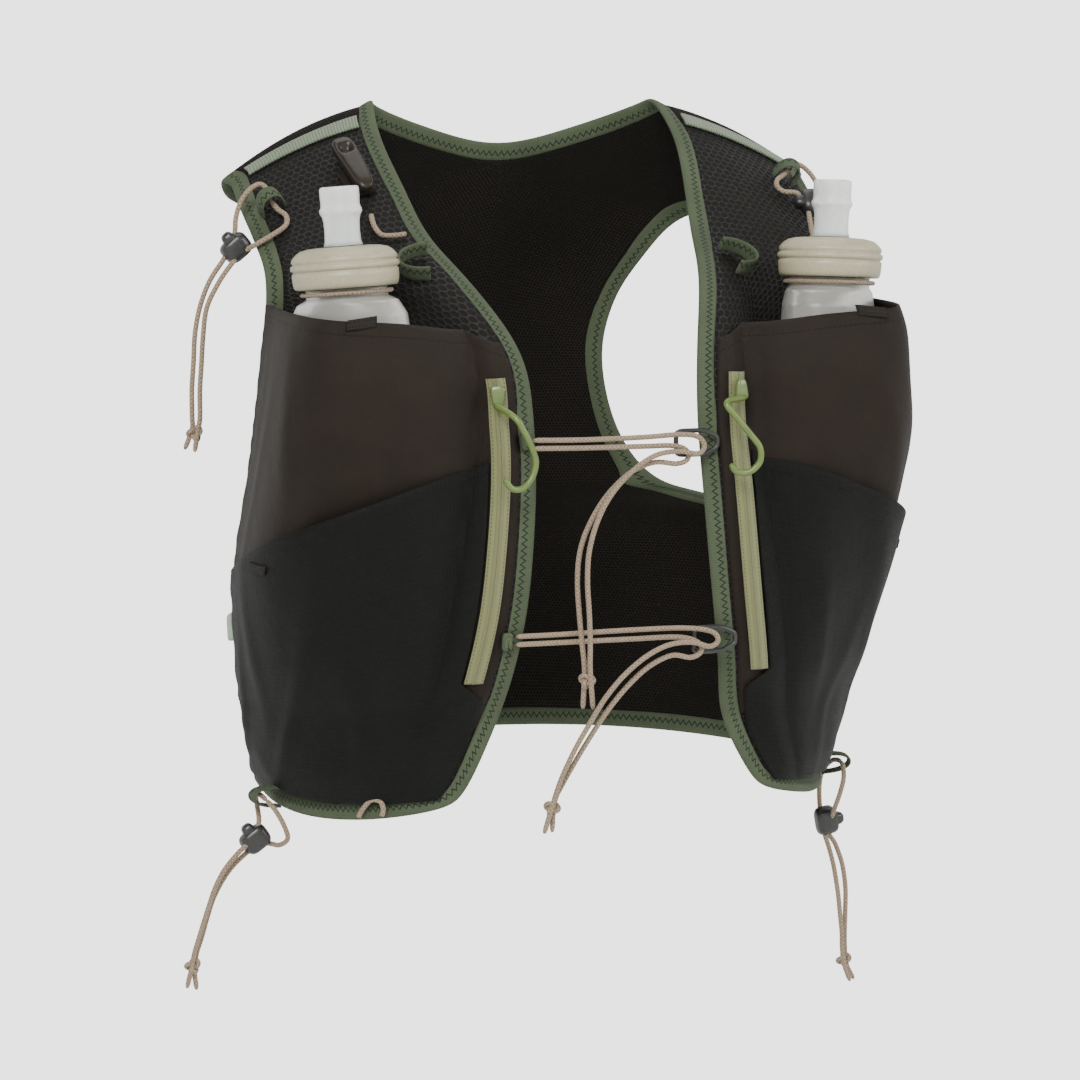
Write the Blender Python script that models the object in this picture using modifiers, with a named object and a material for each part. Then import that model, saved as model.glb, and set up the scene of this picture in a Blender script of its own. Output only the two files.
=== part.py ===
"""Running hydration vest: a soft harness worn over the shoulders, with a soft flask in each chest pocket.

The vest has the form that it keeps on a chest: +Z is up, the chest faces -Y, and the wearer's left is at +X.
The origin is the middle of the wearer's body, level with the shoulder ridges that the vest hangs from.
"""

import math

import bmesh
import bpy
import numpy as np
from mathutils import Matrix, Vector

MM = 0.001

# Driving dimensions
VEST_HEIGHT = 358 * MM
BODY_HALF_WIDTH = 158 * MM
FRONT_DEPTH = 117 * MM
BACK_DEPTH = 106 * MM
PANEL_WALL = 2.0 * MM
POCKET_WALL = 1.2 * MM
BINDING_WIDTH = 10 * MM
BINDING_WALL = 3.0 * MM
WEBBING_WALL = 1.2 * MM
CLEARANCE = 0.4 * MM
SEAM_GAP = 1.1 * MM
SIDE_SEAM = 2.8 * MM
ZIP_WIDTH = 9.5 * MM
CORD_DIAMETER = 2.6 * MM
LID_DIAMETER = 54 * MM
LID_HEIGHT = 20 * MM
VALVE_DIAMETER = 21 * MM
VALVE_HEIGHT = 29 * MM
FLASK_WIDTH = 70 * MM
FLASK_THICK = 48 * MM
FLASK_HEIGHT = 155 * MM

POCKET_DEPTH = 50 * MM

# Rows of a front panel from the shoulder seam down to the hem. in_ is the front edge and out_ the armhole or the
# side seam. Shares: x of BODY_HALF_WIDTH, y of FRONT_DEPTH ahead of the origin and of BACK_DEPTH behind it, z of
# VEST_HEIGHT. bulge, how far the row bows outward, and shelf, how far its front stretch stands forward, are shares
# of FRONT_DEPTH, and lift, how far it bows upward, is a share of VEST_HEIGHT. pocket and lower are the depths of the
# flask pocket and of the lower pocket as shares of POCKET_DEPTH.
FRONT_ROWS = (
    # in_x, in_y, in_z, out_x, out_y, out_z, bulge, lift, shelf, pocket, lower
    (0.506, 0.34, -0.028, 0.994, 0.34, -0.117, 0.0, 0.011, 0.0, 1.2, 1.3),
    (0.506, 0.18, -0.067, 0.994, 0.17, -0.151, 0.0, 0.014, 0.0, 1.2, 1.3),
    (0.481, -0.017, -0.123, 0.981, 0.0, -0.193, 0.02, 0.014, 0.0, 1.4, 1.3),
    (0.449, -0.214, -0.187, 0.981, -0.171, -0.235, 0.03, 0.011, 0.017, 1.45, 1.3),
    (0.386, -0.538, -0.246, 0.987, -0.205, -0.293, 0.026, 0.006, 0.05, 1.42, 1.3),
    (0.291, -0.846, -0.338, 0.994, -0.171, -0.363, 0.026, 0.0, 0.085, 1.36, 1.36),
    (0.272, -0.923, -0.436, 1.0, -0.103, -0.447, 0.026, 0.0, 0.10, 1.36, 1.36),
    (0.278, -0.974, -0.531, 1.006, 0.0, -0.539, 0.06, 0.0, 0.11, 1.16, 1.18),
    (0.304, -0.991, -0.670, 1.006, 0.208, -0.659, 0.12, 0.0, 0.11, 0.84, 0.86),
    (0.342, -0.940, -0.774, 0.994, 0.236, -0.774, 0.17, 0.0, 0.094, 0.46, 0.50),
    (0.380, -0.838, -0.855, 0.975, 0.255, -0.860, 0.20, 0.0, 0.077, 0.20, 0.24),
    (0.462, -0.846, -0.930, 0.949, 0.264, -0.936, 0.20, -0.006, 0.05, 0.08, 0.10),
    (0.525, -0.846, -0.966, 0.937, 0.264, -0.978, 0.20, -0.025, 0.034, 0.02, 0.03),
)
HEM_ROW = len(FRONT_ROWS) - 1
UNDERARM_ROW = 8

# Rows of a back half from the same shoulder seam over the ridge and down to the hem, in the same shares, with bulge
# a share of BACK_DEPTH. in_ follows the neckline down to its middle and then the middle of the back. down is how
# far the neck binding's width turns from the row's own direction to straight down.
BACK_ROWS = (
    # in_x, in_y, in_z, out_x, out_y, out_z, bulge, lift, down
    (0.506, 0.34, -0.028, 0.994, 0.34, -0.117, 0.0, 0.011, 0.0),
    (0.487, 0.47, 0.0, 1.013, 0.42, -0.115, 0.0, 0.014, 0.0),
    (0.456, 0.575, -0.008, 0.962, 0.57, -0.14, 0.0, 0.012, 0.25),
    (0.285, 0.66, -0.036, 0.823, 0.71, -0.162, 0.02, 0.010, 0.75),
    (0.0, 0.717, -0.067, 0.671, 0.81, -0.184, 0.05, 0.0, 1.0),
    (0.0, 0.80, -0.145, 0.557, 0.868, -0.24, 0.05, 0.0, 1.0),
    (0.0, 0.90, -0.25, 0.462, 0.906, -0.307, 0.04, 0.0, 1.0),
    (0.0, 0.943, -0.39, 0.418, 0.906, -0.394, 0.03, 0.0, 1.0),
    (0.0, 0.98, -0.50, 0.481, 0.925, -0.503, 0.03, 0.0, 1.0),
    (0.0, 0.99, -0.573, 0.614, 0.896, -0.578, 0.05, 0.0, 1.0),
    (0.0, 1.0, -0.61, 0.80, 0.72, -0.606, 0.12, 0.0, 1.0),
    (0.0, 1.0, -0.66, 1.006, 0.208, -0.659, 0.30, 0.0, 1.0),
    (0.0, 1.0, -0.80, 0.975, 0.255, -0.860, 0.30, 0.0, 1.0),
    (0.0, 0.99, -0.953, 0.937, 0.264, -0.978, 0.30, 0.0, 1.0),
)
NECK_ROW = 4
BACK_UNDERARM_ROW = 11
BACK_HEM_ROW = len(BACK_ROWS) - 1
SHELF_PEAK = 0.1
SHELF_END = 0.4
SEAM_SHARE = 0.045
FRONT_STATIONS = np.concatenate([np.linspace(0, UNDERARM_ROW, 15), np.linspace(8.5, HEM_ROW, 8)])
BACK_STATIONS = np.concatenate([
    np.linspace(0, NECK_ROW, 9),
    np.linspace(NECK_ROW, BACK_UNDERARM_ROW, 12)[1:],
    np.linspace(BACK_UNDERARM_ROW + 0.5, BACK_HEM_ROW, 4),
])
PANEL_COLUMNS = 7

# The top edge of the flask pocket and of the lower pocket: a share of the row and the row number there.
FLASK_RIM = ((0.0, 4.85), (0.25, 4.5), (0.5, 4.25), (0.75, 4.0), (1.0, 3.75))
LOWER_RIM = ((0.0, 6.45), (0.25, 6.85), (0.5, 7.3), (0.75, 7.75), (1.0, 8.1))
FLASK_POCKET_END = 10.0
POCKET_EDGE = BINDING_WIDTH + 1.5 * MM
ZIP_EDGE = BINDING_WIDTH + 1.8 * MM
ZIP_TOP_ROW = 5.3
ZIP_END_ROW = 9.15


def spline(values, at):
    """The smooth curve through the rows of values, where at counts the rows from 0."""
    values = np.asarray(values, float)
    at = np.clip(np.asarray(at, float), 0, len(values) - 1)
    k = np.minimum(at.astype(int), len(values) - 2)
    t = (at - k)[..., None]
    first = 2 * values[:1] - values[1:2]
    last = 2 * values[-1:] - values[-2:-1]
    padded = np.concatenate([first, values, last])
    a, b, c, d = padded[k], padded[k + 1], padded[k + 2], padded[k + 3]
    return 0.5 * (2 * b + (c - a) * t + (2 * a - 5 * b + 4 * c - d) * t**2 + (3 * b - a - 3 * c + d) * t**3)


def sizes_of(rows, bow):
    """A table of rows in metres: its two end points first, then its other columns, with bulge scaled by bow."""
    table = np.array(rows, float)
    for at in (0, 3):
        table[:, at] *= BODY_HALF_WIDTH
        table[:, at + 1] *= np.where(table[:, at + 1] < 0, FRONT_DEPTH, BACK_DEPTH)
        table[:, at + 2] *= VEST_HEIGHT
    table[:, 6] *= bow
    table[:, 7] *= VEST_HEIGHT
    return table


FRONT = sizes_of(FRONT_ROWS, FRONT_DEPTH)
FRONT[:, 8] *= FRONT_DEPTH
FRONT[:, 9:11] *= POCKET_DEPTH
BACK = sizes_of(BACK_ROWS, BACK_DEPTH)


def unit(vectors):
    """The vectors at length one."""
    vectors = np.asarray(vectors, float)
    return vectors / np.linalg.norm(vectors, axis=-1, keepdims=True)


def bowed(start, end, u, out, up, facing):
    """The chord from start to end, pushed out sideways by out and upward by up. facing is 1 in front, -1 behind."""
    chord = end - start
    level = np.stack([chord[..., 1], -chord[..., 0], 0 * chord[..., 0]], -1) * facing
    return start + chord * u[..., None] + unit(level) * out[..., None] + up[..., None] * np.array([0, 0, 1.0])


def shelf_shape(u):
    """Rises from 0 at the front edge to 1 at SHELF_PEAK and is back at 0 from SHELF_END on."""
    rise = np.sin(np.clip(u / SHELF_PEAK, 0, 1) * math.pi / 2)
    fall = 0.5 + 0.5 * np.cos(np.clip((u - SHELF_PEAK) / (SHELF_END - SHELF_PEAK), 0, 1) * math.pi)
    return rise * fall


def front(u, v, stand=0.0):
    """The middle surface of a front panel at share u of row v, or a surface that stands out from it by stand."""
    u, v = np.broadcast_arrays(np.asarray(u, float), np.asarray(v, float))
    row = spline(FRONT, v)
    bow = 4 * u * (1 - u)
    out = row[..., 6] * bow + row[..., 8] * shelf_shape(u) + stand
    return bowed(row[..., 0:3], row[..., 3:6], u, out, row[..., 7] * bow, 1)


def neck_line(v):
    """The inner end of the back's rows: the neckline, level at its middle, and then the middle of the back."""
    mirrored = BACK[NECK_ROW - 1, 0:3] * np.array([-1, 1, 1])
    along = spline(np.vstack([BACK[: NECK_ROW + 1, 0:3], mirrored]), np.minimum(v, NECK_ROW))
    below = spline(BACK[NECK_ROW:, 0:3], np.maximum(v - NECK_ROW, 0))
    return np.where((v <= NECK_ROW)[..., None], along, below)


def back(u, v, trim=0.0):
    """The middle surface of the back at share u of row v, with its neck edge moved in by trim."""
    u, v = np.broadcast_arrays(np.asarray(u, float), np.asarray(v, float))
    row = spline(BACK, v)
    start, end = neck_line(v), row[..., 3:6]
    middle = BACK[NECK_ROW, 0:3]
    downward = unit(BACK[NECK_ROW + 1, 0:3] - middle)
    down = np.clip(row[..., 8], 0, 1)[..., None]
    inward = unit((1 - down) * unit(end - start) + down * downward)
    start = start + inward * (trim * np.clip(NECK_ROW + 1 - v, 0, 1))[..., None]
    bow = 4 * u * (1 - u)
    return bowed(start, end, u, row[..., 6] * bow, row[..., 7] * bow, -1)


def trimmed(u, v):
    """The back's surface inside its neck binding."""
    return back(u, v, BINDING_WIDTH + SEAM_GAP)


def share_at(surface, v, distance, from_outside=False):
    """The share of each row at which the surface is that distance from one end of the row."""
    found = []
    for row in np.atleast_1d(v):
        u = np.linspace(0, 1, 201)
        points = surface(u, np.full(201, row))
        lengths = np.concatenate([[0], np.cumsum(np.linalg.norm(np.diff(points, axis=0), axis=1))])
        target = lengths[-1] - distance if from_outside else distance
        found.append(np.interp(target, lengths, u))
    return np.array(found)


def row_above(surface, u, last_row, distance):
    """The row number at which each share of a row is that distance above the last row."""
    span = np.linalg.norm(surface(u, last_row + 0 * u) - surface(u, last_row - 1 + 0 * u), axis=-1)
    return last_row - distance / span


def outward(surface, u, v):
    """The unit normal of a front surface, facing away from the body."""
    step = 0.01
    along = surface(u + step, v) - surface(u - step, v)
    down = surface(u, v + step) - surface(u, v - step)
    return unit(np.cross(down, along))


def start_scene():
    """Clears the scene and makes the collections that the object and its cutters are kept in."""
    for obj in list(bpy.data.objects):
        bpy.data.objects.remove(obj)
    made = []
    for name in ("running_hydration_vest", "cutters"):
        collection = bpy.data.collections.new(name)
        bpy.context.scene.collection.children.link(collection)
        made.append(collection)
    made[1].hide_render = True
    return made


VEST, CUTTERS = start_scene()


def material(name, colour, roughness=0.8, metallic=0.0):
    """A plain finish: the colour is linear red, green and blue."""
    made = bpy.data.materials.new(name)
    made.use_nodes = True
    shader = made.node_tree.nodes["Principled BSDF"]
    shader.inputs["Base Color"].default_value = (*colour, 1.0)
    shader.inputs["Roughness"].default_value = roughness
    shader.inputs["Metallic"].default_value = metallic
    return made


SAGE = material("sage_binding", (0.102, 0.150, 0.089))
MESH_CLOTH = material("mesh_lining", (0.020, 0.016, 0.012))
BROWN = material("flask_pocket_cloth", (0.039, 0.027, 0.021))
BLACK = material("lower_pocket_cloth", (0.015, 0.016, 0.013))
ZIP = material("zip_tape", (0.305, 0.314, 0.141))
LIME = material("zip_pull", (0.188, 0.283, 0.061), 0.5)
TAN = material("elastic_cord", (0.376, 0.262, 0.181))
HARD_BLACK = material("hard_black", (0.016, 0.016, 0.016), 0.4)
LIGHT_SAGE = material("light_webbing", (0.305, 0.352, 0.262))
BUCKLE = material("side_buckle", (0.305, 0.376, 0.283), 0.5)
WHISTLE = material("whistle", (0.061, 0.048, 0.040), 0.4)
LID = material("flask_lid", (0.376, 0.341, 0.254), 0.45)
SILICONE = material("flask_valve", (0.752, 0.752, 0.716), 0.4)
FILM = material("flask_film", (0.578, 0.578, 0.578), 0.3)


def add(name, mesh, finish, collection=None):
    """A new object with this mesh and finish."""
    obj = bpy.data.objects.new(name, mesh)
    (collection or VEST).objects.link(obj)
    obj.data.materials.append(finish)
    return obj


def grid_faces(rows, columns, closed_rows=False, closed_columns=False):
    """The quads of a grid of points, with its last row or column joined to the first where it is closed."""
    i, j = np.meshgrid(
        np.arange(rows if closed_rows else rows - 1),
        np.arange(columns if closed_columns else columns - 1),
        indexing="ij",
    )
    i, j = i.ravel(), j.ravel()
    below, right = (i + 1) % rows, (j + 1) % columns
    return np.stack([i * columns + j, below * columns + j, below * columns + right, i * columns + right], 1)


def grid_mesh(name, points, side=1, closed_rows=False, closed_columns=False):
    """A mesh of the grid of points. side -1 is the mirror image."""
    rows, columns = points.shape[:2]
    faces = grid_faces(rows, columns, closed_rows, closed_columns)
    places = points.reshape(-1, 3) * np.array([side, 1, 1])
    if side < 0:
        faces = faces[:, ::-1]
    mesh = bpy.data.meshes.new(name)
    mesh.from_pydata(places.tolist(), [], faces.tolist())
    mesh.shade_smooth()
    return mesh


def cloth(name, points, wall, finish, side=1, mirrored=False, closed_rows=False):
    """A sheet of cloth through the grid of points, with its wall shared by both faces."""
    obj = add(name, grid_mesh(name, points, side, closed_rows), finish)
    if mirrored:
        mirror = obj.modifiers.new("mirror", "MIRROR")
        mirror.merge_threshold = 0.0001
    solid = obj.modifiers.new("wall", "SOLIDIFY")
    solid.thickness = wall
    solid.offset = 0.0
    return obj


def side_name(side):
    """The wearer's own side: left is at +X."""
    return "left" if side > 0 else "right"


def slant(surface, rows):
    """How much longer a row's own way across the armhole binding is than the binding's width."""
    one = np.ones(len(rows))
    along = unit(surface(one, rows) - surface(0.97 * one, rows))
    edge = unit(surface(one, rows + 0.1) - surface(one, rows - 0.1))
    return 1 / np.clip(np.linalg.norm(np.cross(along, edge), axis=1), 0.35, 1)


UNDERARM_REACH = 36 * MM


def panel_shares(surface, rows, underarm, columns, inner, reach=0.0):
    """The shares of each row that a panel covers, clear of its bindings above the underarm and of its seam below."""
    seam = SIDE_SEAM
    bound = (BINDING_WIDTH + SEAM_GAP) * slant(surface, rows)
    bound = np.where(rows == underarm, np.maximum(bound, reach), bound)
    below = np.clip((rows - underarm) / 0.5, 0, 1)
    outer = np.array(
        [share_at(surface, row, a + (seam - a) * k, True)[0] for row, k, a in zip(rows, below, bound)]
    )
    return inner[:, None] + (outer - inner)[:, None] * np.linspace(0, 1, columns)


def make_front_panel(side):
    """The mesh front panel: shoulder strap, chest and hip in one piece."""
    rows = np.maximum(FRONT_STATIONS, SEAM_SHARE)
    inner = share_at(front, rows, BINDING_WIDTH + SEAM_GAP)
    shares = panel_shares(front, rows, UNDERARM_ROW, PANEL_COLUMNS, inner)
    v = np.repeat(rows[:, None], PANEL_COLUMNS, axis=1)
    ends = row_above(front, shares[-1], HEM_ROW, BINDING_WIDTH + SEAM_GAP)
    stretch = np.clip((v - UNDERARM_ROW) / (HEM_ROW - UNDERARM_ROW), 0, 1)
    v = v - stretch * (HEM_ROW - ends)
    cloth(f"front_panel_{side_name(side)}", front(shares, v), PANEL_WALL, MESH_CLOTH, side)


def make_back_panel():
    """The back panel with both shoulder yokes, which come over the ridges to the shoulder seams."""
    rows = np.maximum(BACK_STATIONS, SEAM_SHARE)
    shares = panel_shares(trimmed, rows, BACK_UNDERARM_ROW, PANEL_COLUMNS, 0 * rows, UNDERARM_REACH)
    v = np.repeat(rows[:, None], PANEL_COLUMNS, axis=1)
    ends = row_above(trimmed, shares[-1], BACK_HEM_ROW, BINDING_WIDTH + SEAM_GAP)
    stretch = np.clip((v - BACK_UNDERARM_ROW) / (BACK_HEM_ROW - BACK_UNDERARM_ROW), 0, 1)
    v = v - stretch * (BACK_HEM_ROW - ends)
    points = trimmed(shares, v)
    points[rows >= NECK_ROW, 0, 0] = 0
    cloth("back_panel", points, PANEL_WALL, MESH_CLOTH, mirrored=True)


def strip(name, outer, inner, wall, finish, side=1, mirrored=False, closed=False):
    """A tape whose two edges are these lines of points."""
    return cloth(name, np.stack([outer, inner], 1), wall, finish, side, mirrored, closed)


def make_front_binding():
    """The binding round the neck, down both front edges and along both front hems, in one piece."""
    neck = np.linspace(NECK_ROW, 0, 9)
    edge = FRONT_STATIONS[1:]
    hem = np.linspace(0, 1, 9)[1:]
    width = BINDING_WIDTH
    corner = share_at(front, HEM_ROW, width)[0]
    turn = HEM_ROW - UNDERARM_ROW
    lowest = row_above(front, np.array([corner]), HEM_ROW, width)[0]
    inner_edge = edge - np.clip((edge - HEM_ROW + turn) / turn, 0, 1) * (HEM_ROW - lowest)
    inner_hem = corner + (1 - corner) * hem
    seam = 1 - CLEARANCE / np.linalg.norm(FRONT[HEM_ROW, 3:6] - FRONT[HEM_ROW, 0:3])
    hem_shares = np.minimum(hem, seam)
    inner_hem = np.minimum(inner_hem, seam)
    outer = np.vstack([neck_line(neck), front(0 * edge, edge), front(hem_shares, HEM_ROW + 0 * hem)])
    inner = np.vstack([
        back(0 * neck, neck, width),
        front(share_at(front, inner_edge, width), inner_edge),
        front(inner_hem, row_above(front, inner_hem, HEM_ROW, width)),
    ])
    outer[0, 0] = inner[0, 0] = 0
    strip("front_binding", outer, inner, BINDING_WALL, SAGE, mirrored=True)


def inner_line(surface, rows, width):
    """The inner edge of an armhole binding of this width, where the rows cross it."""
    shares = [share_at(surface, row, width * k, True)[0] for row, k in zip(rows, slant(surface, rows))]
    return surface(np.array(shares), rows)


def make_armhole_binding(side):
    """The closed loop of binding round one armhole."""
    width = BINDING_WIDTH
    ahead = FRONT_STATIONS[FRONT_STATIONS < UNDERARM_ROW]
    behind = BACK_STATIONS[(BACK_STATIONS > 0) & (BACK_STATIONS < BACK_UNDERARM_ROW)][::-1]
    below = front(np.array([1.0]), np.array([UNDERARM_ROW + width / np.linalg.norm(
        FRONT[UNDERARM_ROW + 1, 3:6] - FRONT[UNDERARM_ROW, 3:6])]))
    outer = np.vstack([front(1 + 0 * ahead, ahead), FRONT[UNDERARM_ROW, None, 3:6], back(1 + 0 * behind, behind)])
    inner = np.vstack([
        inner_line(front, ahead, width),
        below,
        inner_line(trimmed, behind, width),
    ])
    strip(f"armhole_binding_{side_name(side)}", outer, inner, BINDING_WALL, SAGE, side, closed=True)


def make_back_hem_binding():
    """The binding along the back hem, from side seam to side seam."""
    shares = np.linspace(0, 1, 11)
    seam = 1 - CLEARANCE / np.linalg.norm(BACK[BACK_HEM_ROW, 3:6] - BACK[BACK_HEM_ROW, 0:3])
    shares = np.minimum(shares, seam)
    outer = back(shares, BACK_HEM_ROW + 0 * shares)
    inner = back(shares, row_above(back, shares, BACK_HEM_ROW, BINDING_WIDTH))
    outer[0, 0] = inner[0, 0] = 0
    strip("back_hem_binding", outer, inner, BINDING_WALL, SAGE, mirrored=True)


POCKET_START = 0.155
ZIP_EASE = 1.0 * MM
POCKET_SKEW = 0.92
POCKET_FULLNESS = 0.6
POCKET_EASE = 0.55
POCKET_BASE = PANEL_WALL / 2 + 1.2 * MM + POCKET_WALL / 2
LAYER = POCKET_WALL + CLEARANCE
LOWER_EASE = 3.2 * MM


def pocket(u, v, column=9, extra=0.0):
    """The middle surface of a chest pocket: the panel's, plus a full round belly as deep as the table says."""
    u, v = np.broadcast_arrays(np.asarray(u, float), np.asarray(v, float))
    across = np.clip((u - POCKET_START) / (1 - POCKET_START), 0, 1)
    belly = np.sin(math.pi * across**POCKET_SKEW) ** (POCKET_FULLNESS + POCKET_EASE * across)
    return front(u, v, spline(FRONT, v)[..., column] * belly + POCKET_BASE + extra)


def lower_pocket(u, v):
    """The middle surface of the lower pocket, one layer out from the flask pocket."""
    return pocket(u, v, 10, LAYER + LOWER_EASE)


def pocket_grid(surface, rim, last_row, edge, columns, rows):
    """The points of a pocket between its rim and its last row, from the distance edge to the armhole binding."""
    rim = np.array(rim)
    steps = np.linspace(0, 1, rows)
    k = np.linspace(0, 1, columns)
    top = np.interp(k, rim[:, 0], rim[:, 1])
    v = top + steps[:, None] * (last_row - top)
    inner = share_at(front, v[:, 0], edge)
    outer = share_at(front, v[:, -1], BINDING_WIDTH + CLEARANCE + PANEL_WALL, True)
    below = np.clip((v[:, -1] - UNDERARM_ROW) / 0.7, 0, 1)
    outer = outer + below * (0.985 - outer)
    ease = k + 0.35 * np.sin(2 * math.pi * k) / (2 * math.pi) * -1
    return surface(inner[:, None] + (outer - inner)[:, None] * ease, v)


def make_flask_pocket(side):
    """The stretch-woven chest pocket that holds the flask."""
    points = pocket_grid(pocket, FLASK_RIM, FLASK_POCKET_END, POCKET_EDGE, 13, 12)
    cloth(f"flask_pocket_{side_name(side)}", points, POCKET_WALL, BROWN, side)


def make_lower_pocket(side):
    """The outer pocket, from its slanted top edge down to the hem binding."""
    last = HEM_ROW - 0.75
    points = pocket_grid(lower_pocket, LOWER_RIM, last, ZIP_EDGE + ZIP_WIDTH + 3 * MM, 14, 9)
    cloth(f"lower_pocket_{side_name(side)}", points, POCKET_WALL, BLACK, side)


def make_shoulder_webbing(side):
    """The light webbing sewn over the shoulder seam, from one binding to the other."""
    u = np.linspace(0.15, 0.86, 9)
    rise = outward(front, u, 0.2 + 0 * u) * (PANEL_WALL / 2 + CLEARANCE + WEBBING_WALL / 2 + 0.3 * MM)
    behind = back(u, 0.3 + 0 * u) + rise
    middle = front(u, 0 * u) + rise
    ahead = front(u, 0.17 + 0 * u) + rise
    points = np.stack([behind, middle, ahead], 1)
    cloth(f"shoulder_webbing_{side_name(side)}", points, WEBBING_WALL, LIGHT_SAGE, side)


def zip_surface(u, v):
    """The middle surface of the zip tape, one layer out from the flask pocket."""
    return pocket(u, v, 9, LAYER + ZIP_EASE)


def make_zip_tape(side):
    """The zip on the flask pocket, beside the front edge."""
    rows = np.linspace(ZIP_TOP_ROW, ZIP_END_ROW, 13)
    near = zip_surface(share_at(front, rows, ZIP_EDGE), rows)
    far = zip_surface(share_at(front, rows, ZIP_EDGE + ZIP_WIDTH), rows)
    strip(f"zip_tape_{side_name(side)}", near, far, WEBBING_WALL, ZIP, side)


def frame_at(surface, u, v, side, stand):
    """A matrix on the surface: x along the row, y up the rows and z outward, at this stand from the surface."""
    u, v = np.array([float(u)]), np.array([float(v)])
    mirror = np.array([side, 1, 1])
    normal = outward(surface, u, v)[0]
    place = (surface(u, v)[0] + normal * stand) * mirror
    along = unit(surface(u + 0.01, v) - surface(u - 0.01, v))[0] * mirror
    normal = normal * mirror
    along = unit(along - normal * np.dot(along, normal))
    upward = np.cross(normal, along)
    matrix = Matrix.Identity(4)
    for column, axis in enumerate((along, upward, normal, place)):
        for line in range(3):
            matrix[line][column] = axis[line]
    return matrix


def block(name, size, matrix, finish, bevel=1.0 * MM):
    """A small moulded block with rounded edges."""
    bpy.ops.mesh.primitive_cube_add(size=1)
    obj = bpy.context.object
    for vertex in obj.data.vertices:
        vertex.co = Vector([a * b for a, b in zip(vertex.co, size)])
    obj.name = obj.data.name = name
    for collection in obj.users_collection:
        collection.objects.unlink(obj)
    VEST.objects.link(obj)
    obj.data.materials.append(finish)
    obj.matrix_world = matrix
    rounding = obj.modifiers.new("edges", "BEVEL")
    rounding.width = bevel
    rounding.segments = 1
    return obj


def make_zip_slider(side):
    """The zip's slider, at the top of its tape."""
    row = ZIP_TOP_ROW + 0.25
    share = share_at(front, row, ZIP_EDGE + ZIP_WIDTH / 2)[0]
    stand = SLIDER_SIZE[2] / 2 + CLEARANCE + WEBBING_WALL / 2 + 0.3 * MM
    block(f"zip_slider_{side_name(side)}", SLIDER_SIZE, frame_at(zip_surface, share, row, side, stand), LIME)


SLIDER_SIZE = (7 * MM, 9 * MM, 3.5 * MM)
PULL_DIAMETER = 3.2 * MM


def smooth_route(points, spacing):
    """Points a spacing apart along the smooth curve through the route's own points, given in millimetres."""
    points = np.array(points, float) * MM
    fine = spline(points, np.linspace(0, len(points) - 1, 24 * len(points)))
    lengths = np.concatenate([[0], np.cumsum(np.linalg.norm(np.diff(fine, axis=0), axis=1))])
    wanted = np.linspace(0, lengths[-1], max(4, round(lengths[-1] / spacing) + 1))
    return np.stack([np.interp(wanted, lengths, fine[:, k]) for k in range(3)], 1)


def tube(name, points, diameter, finish, collection=None, closed=False):
    """A round cord or wire through these points, with filled ends."""
    data = bpy.data.curves.new(name, "CURVE")
    data.dimensions = "3D"
    data.bevel_depth = diameter / 2
    data.bevel_resolution = 2
    data.use_fill_caps = True
    line = data.splines.new("POLY")
    line.points.add(len(points) - 1)
    for point, place in zip(line.points, points):
        point.co = (*place, 1.0)
    line.use_cyclic_u = closed
    obj = bpy.data.objects.new(name, data)
    (collection or VEST).objects.link(obj)
    data.materials.append(finish)
    return obj


def as_mesh(obj):
    """The same object as a mesh with its loose caps welded, so that it can be cut or joined."""
    bpy.context.view_layer.update()
    graph = bpy.context.evaluated_depsgraph_get()
    mesh = bpy.data.meshes.new_from_object(obj.evaluated_get(graph))
    shape = bmesh.new()
    shape.from_mesh(mesh)
    bmesh.ops.remove_doubles(shape, verts=shape.verts, dist=0.00001)
    shape.to_mesh(mesh)
    shape.free()
    name, matrix, collection = obj.name, obj.matrix_world.copy(), obj.users_collection[0]
    bpy.data.objects.remove(obj)
    made = bpy.data.objects.new(name, mesh)
    made.matrix_world = matrix
    collection.objects.link(made)
    return made


def combine(obj, other, operation):
    """A Boolean on obj, with the other object kept as a hidden cutter."""
    for collection in other.users_collection:
        collection.objects.unlink(other)
    CUTTERS.objects.link(other)
    other.hide_render = True
    other.display_type = "WIRE"
    cut = obj.modifiers.new(operation.lower(), "BOOLEAN")
    cut.operation = operation
    cut.solver = "EXACT"
    cut.object = other
    return cut


def knot(name, place, across, tall):
    """The rounded body of an overhand knot."""
    bpy.ops.mesh.primitive_uv_sphere_add(segments=8, ring_count=6, radius=0.5)
    obj = bpy.context.object
    obj.name = obj.data.name = name
    for vertex in obj.data.vertices:
        vertex.co = Vector((vertex.co.x * across, vertex.co.y * across, vertex.co.z * tall))
    obj.location = Vector([c * MM for c in place])
    obj.data.materials.append(TAN)
    return obj


KNOT_WIDTH = 10 * MM
KNOT_HEIGHT = 8 * MM
CORD_STEP = 3 * CORD_DIAMETER

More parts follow.
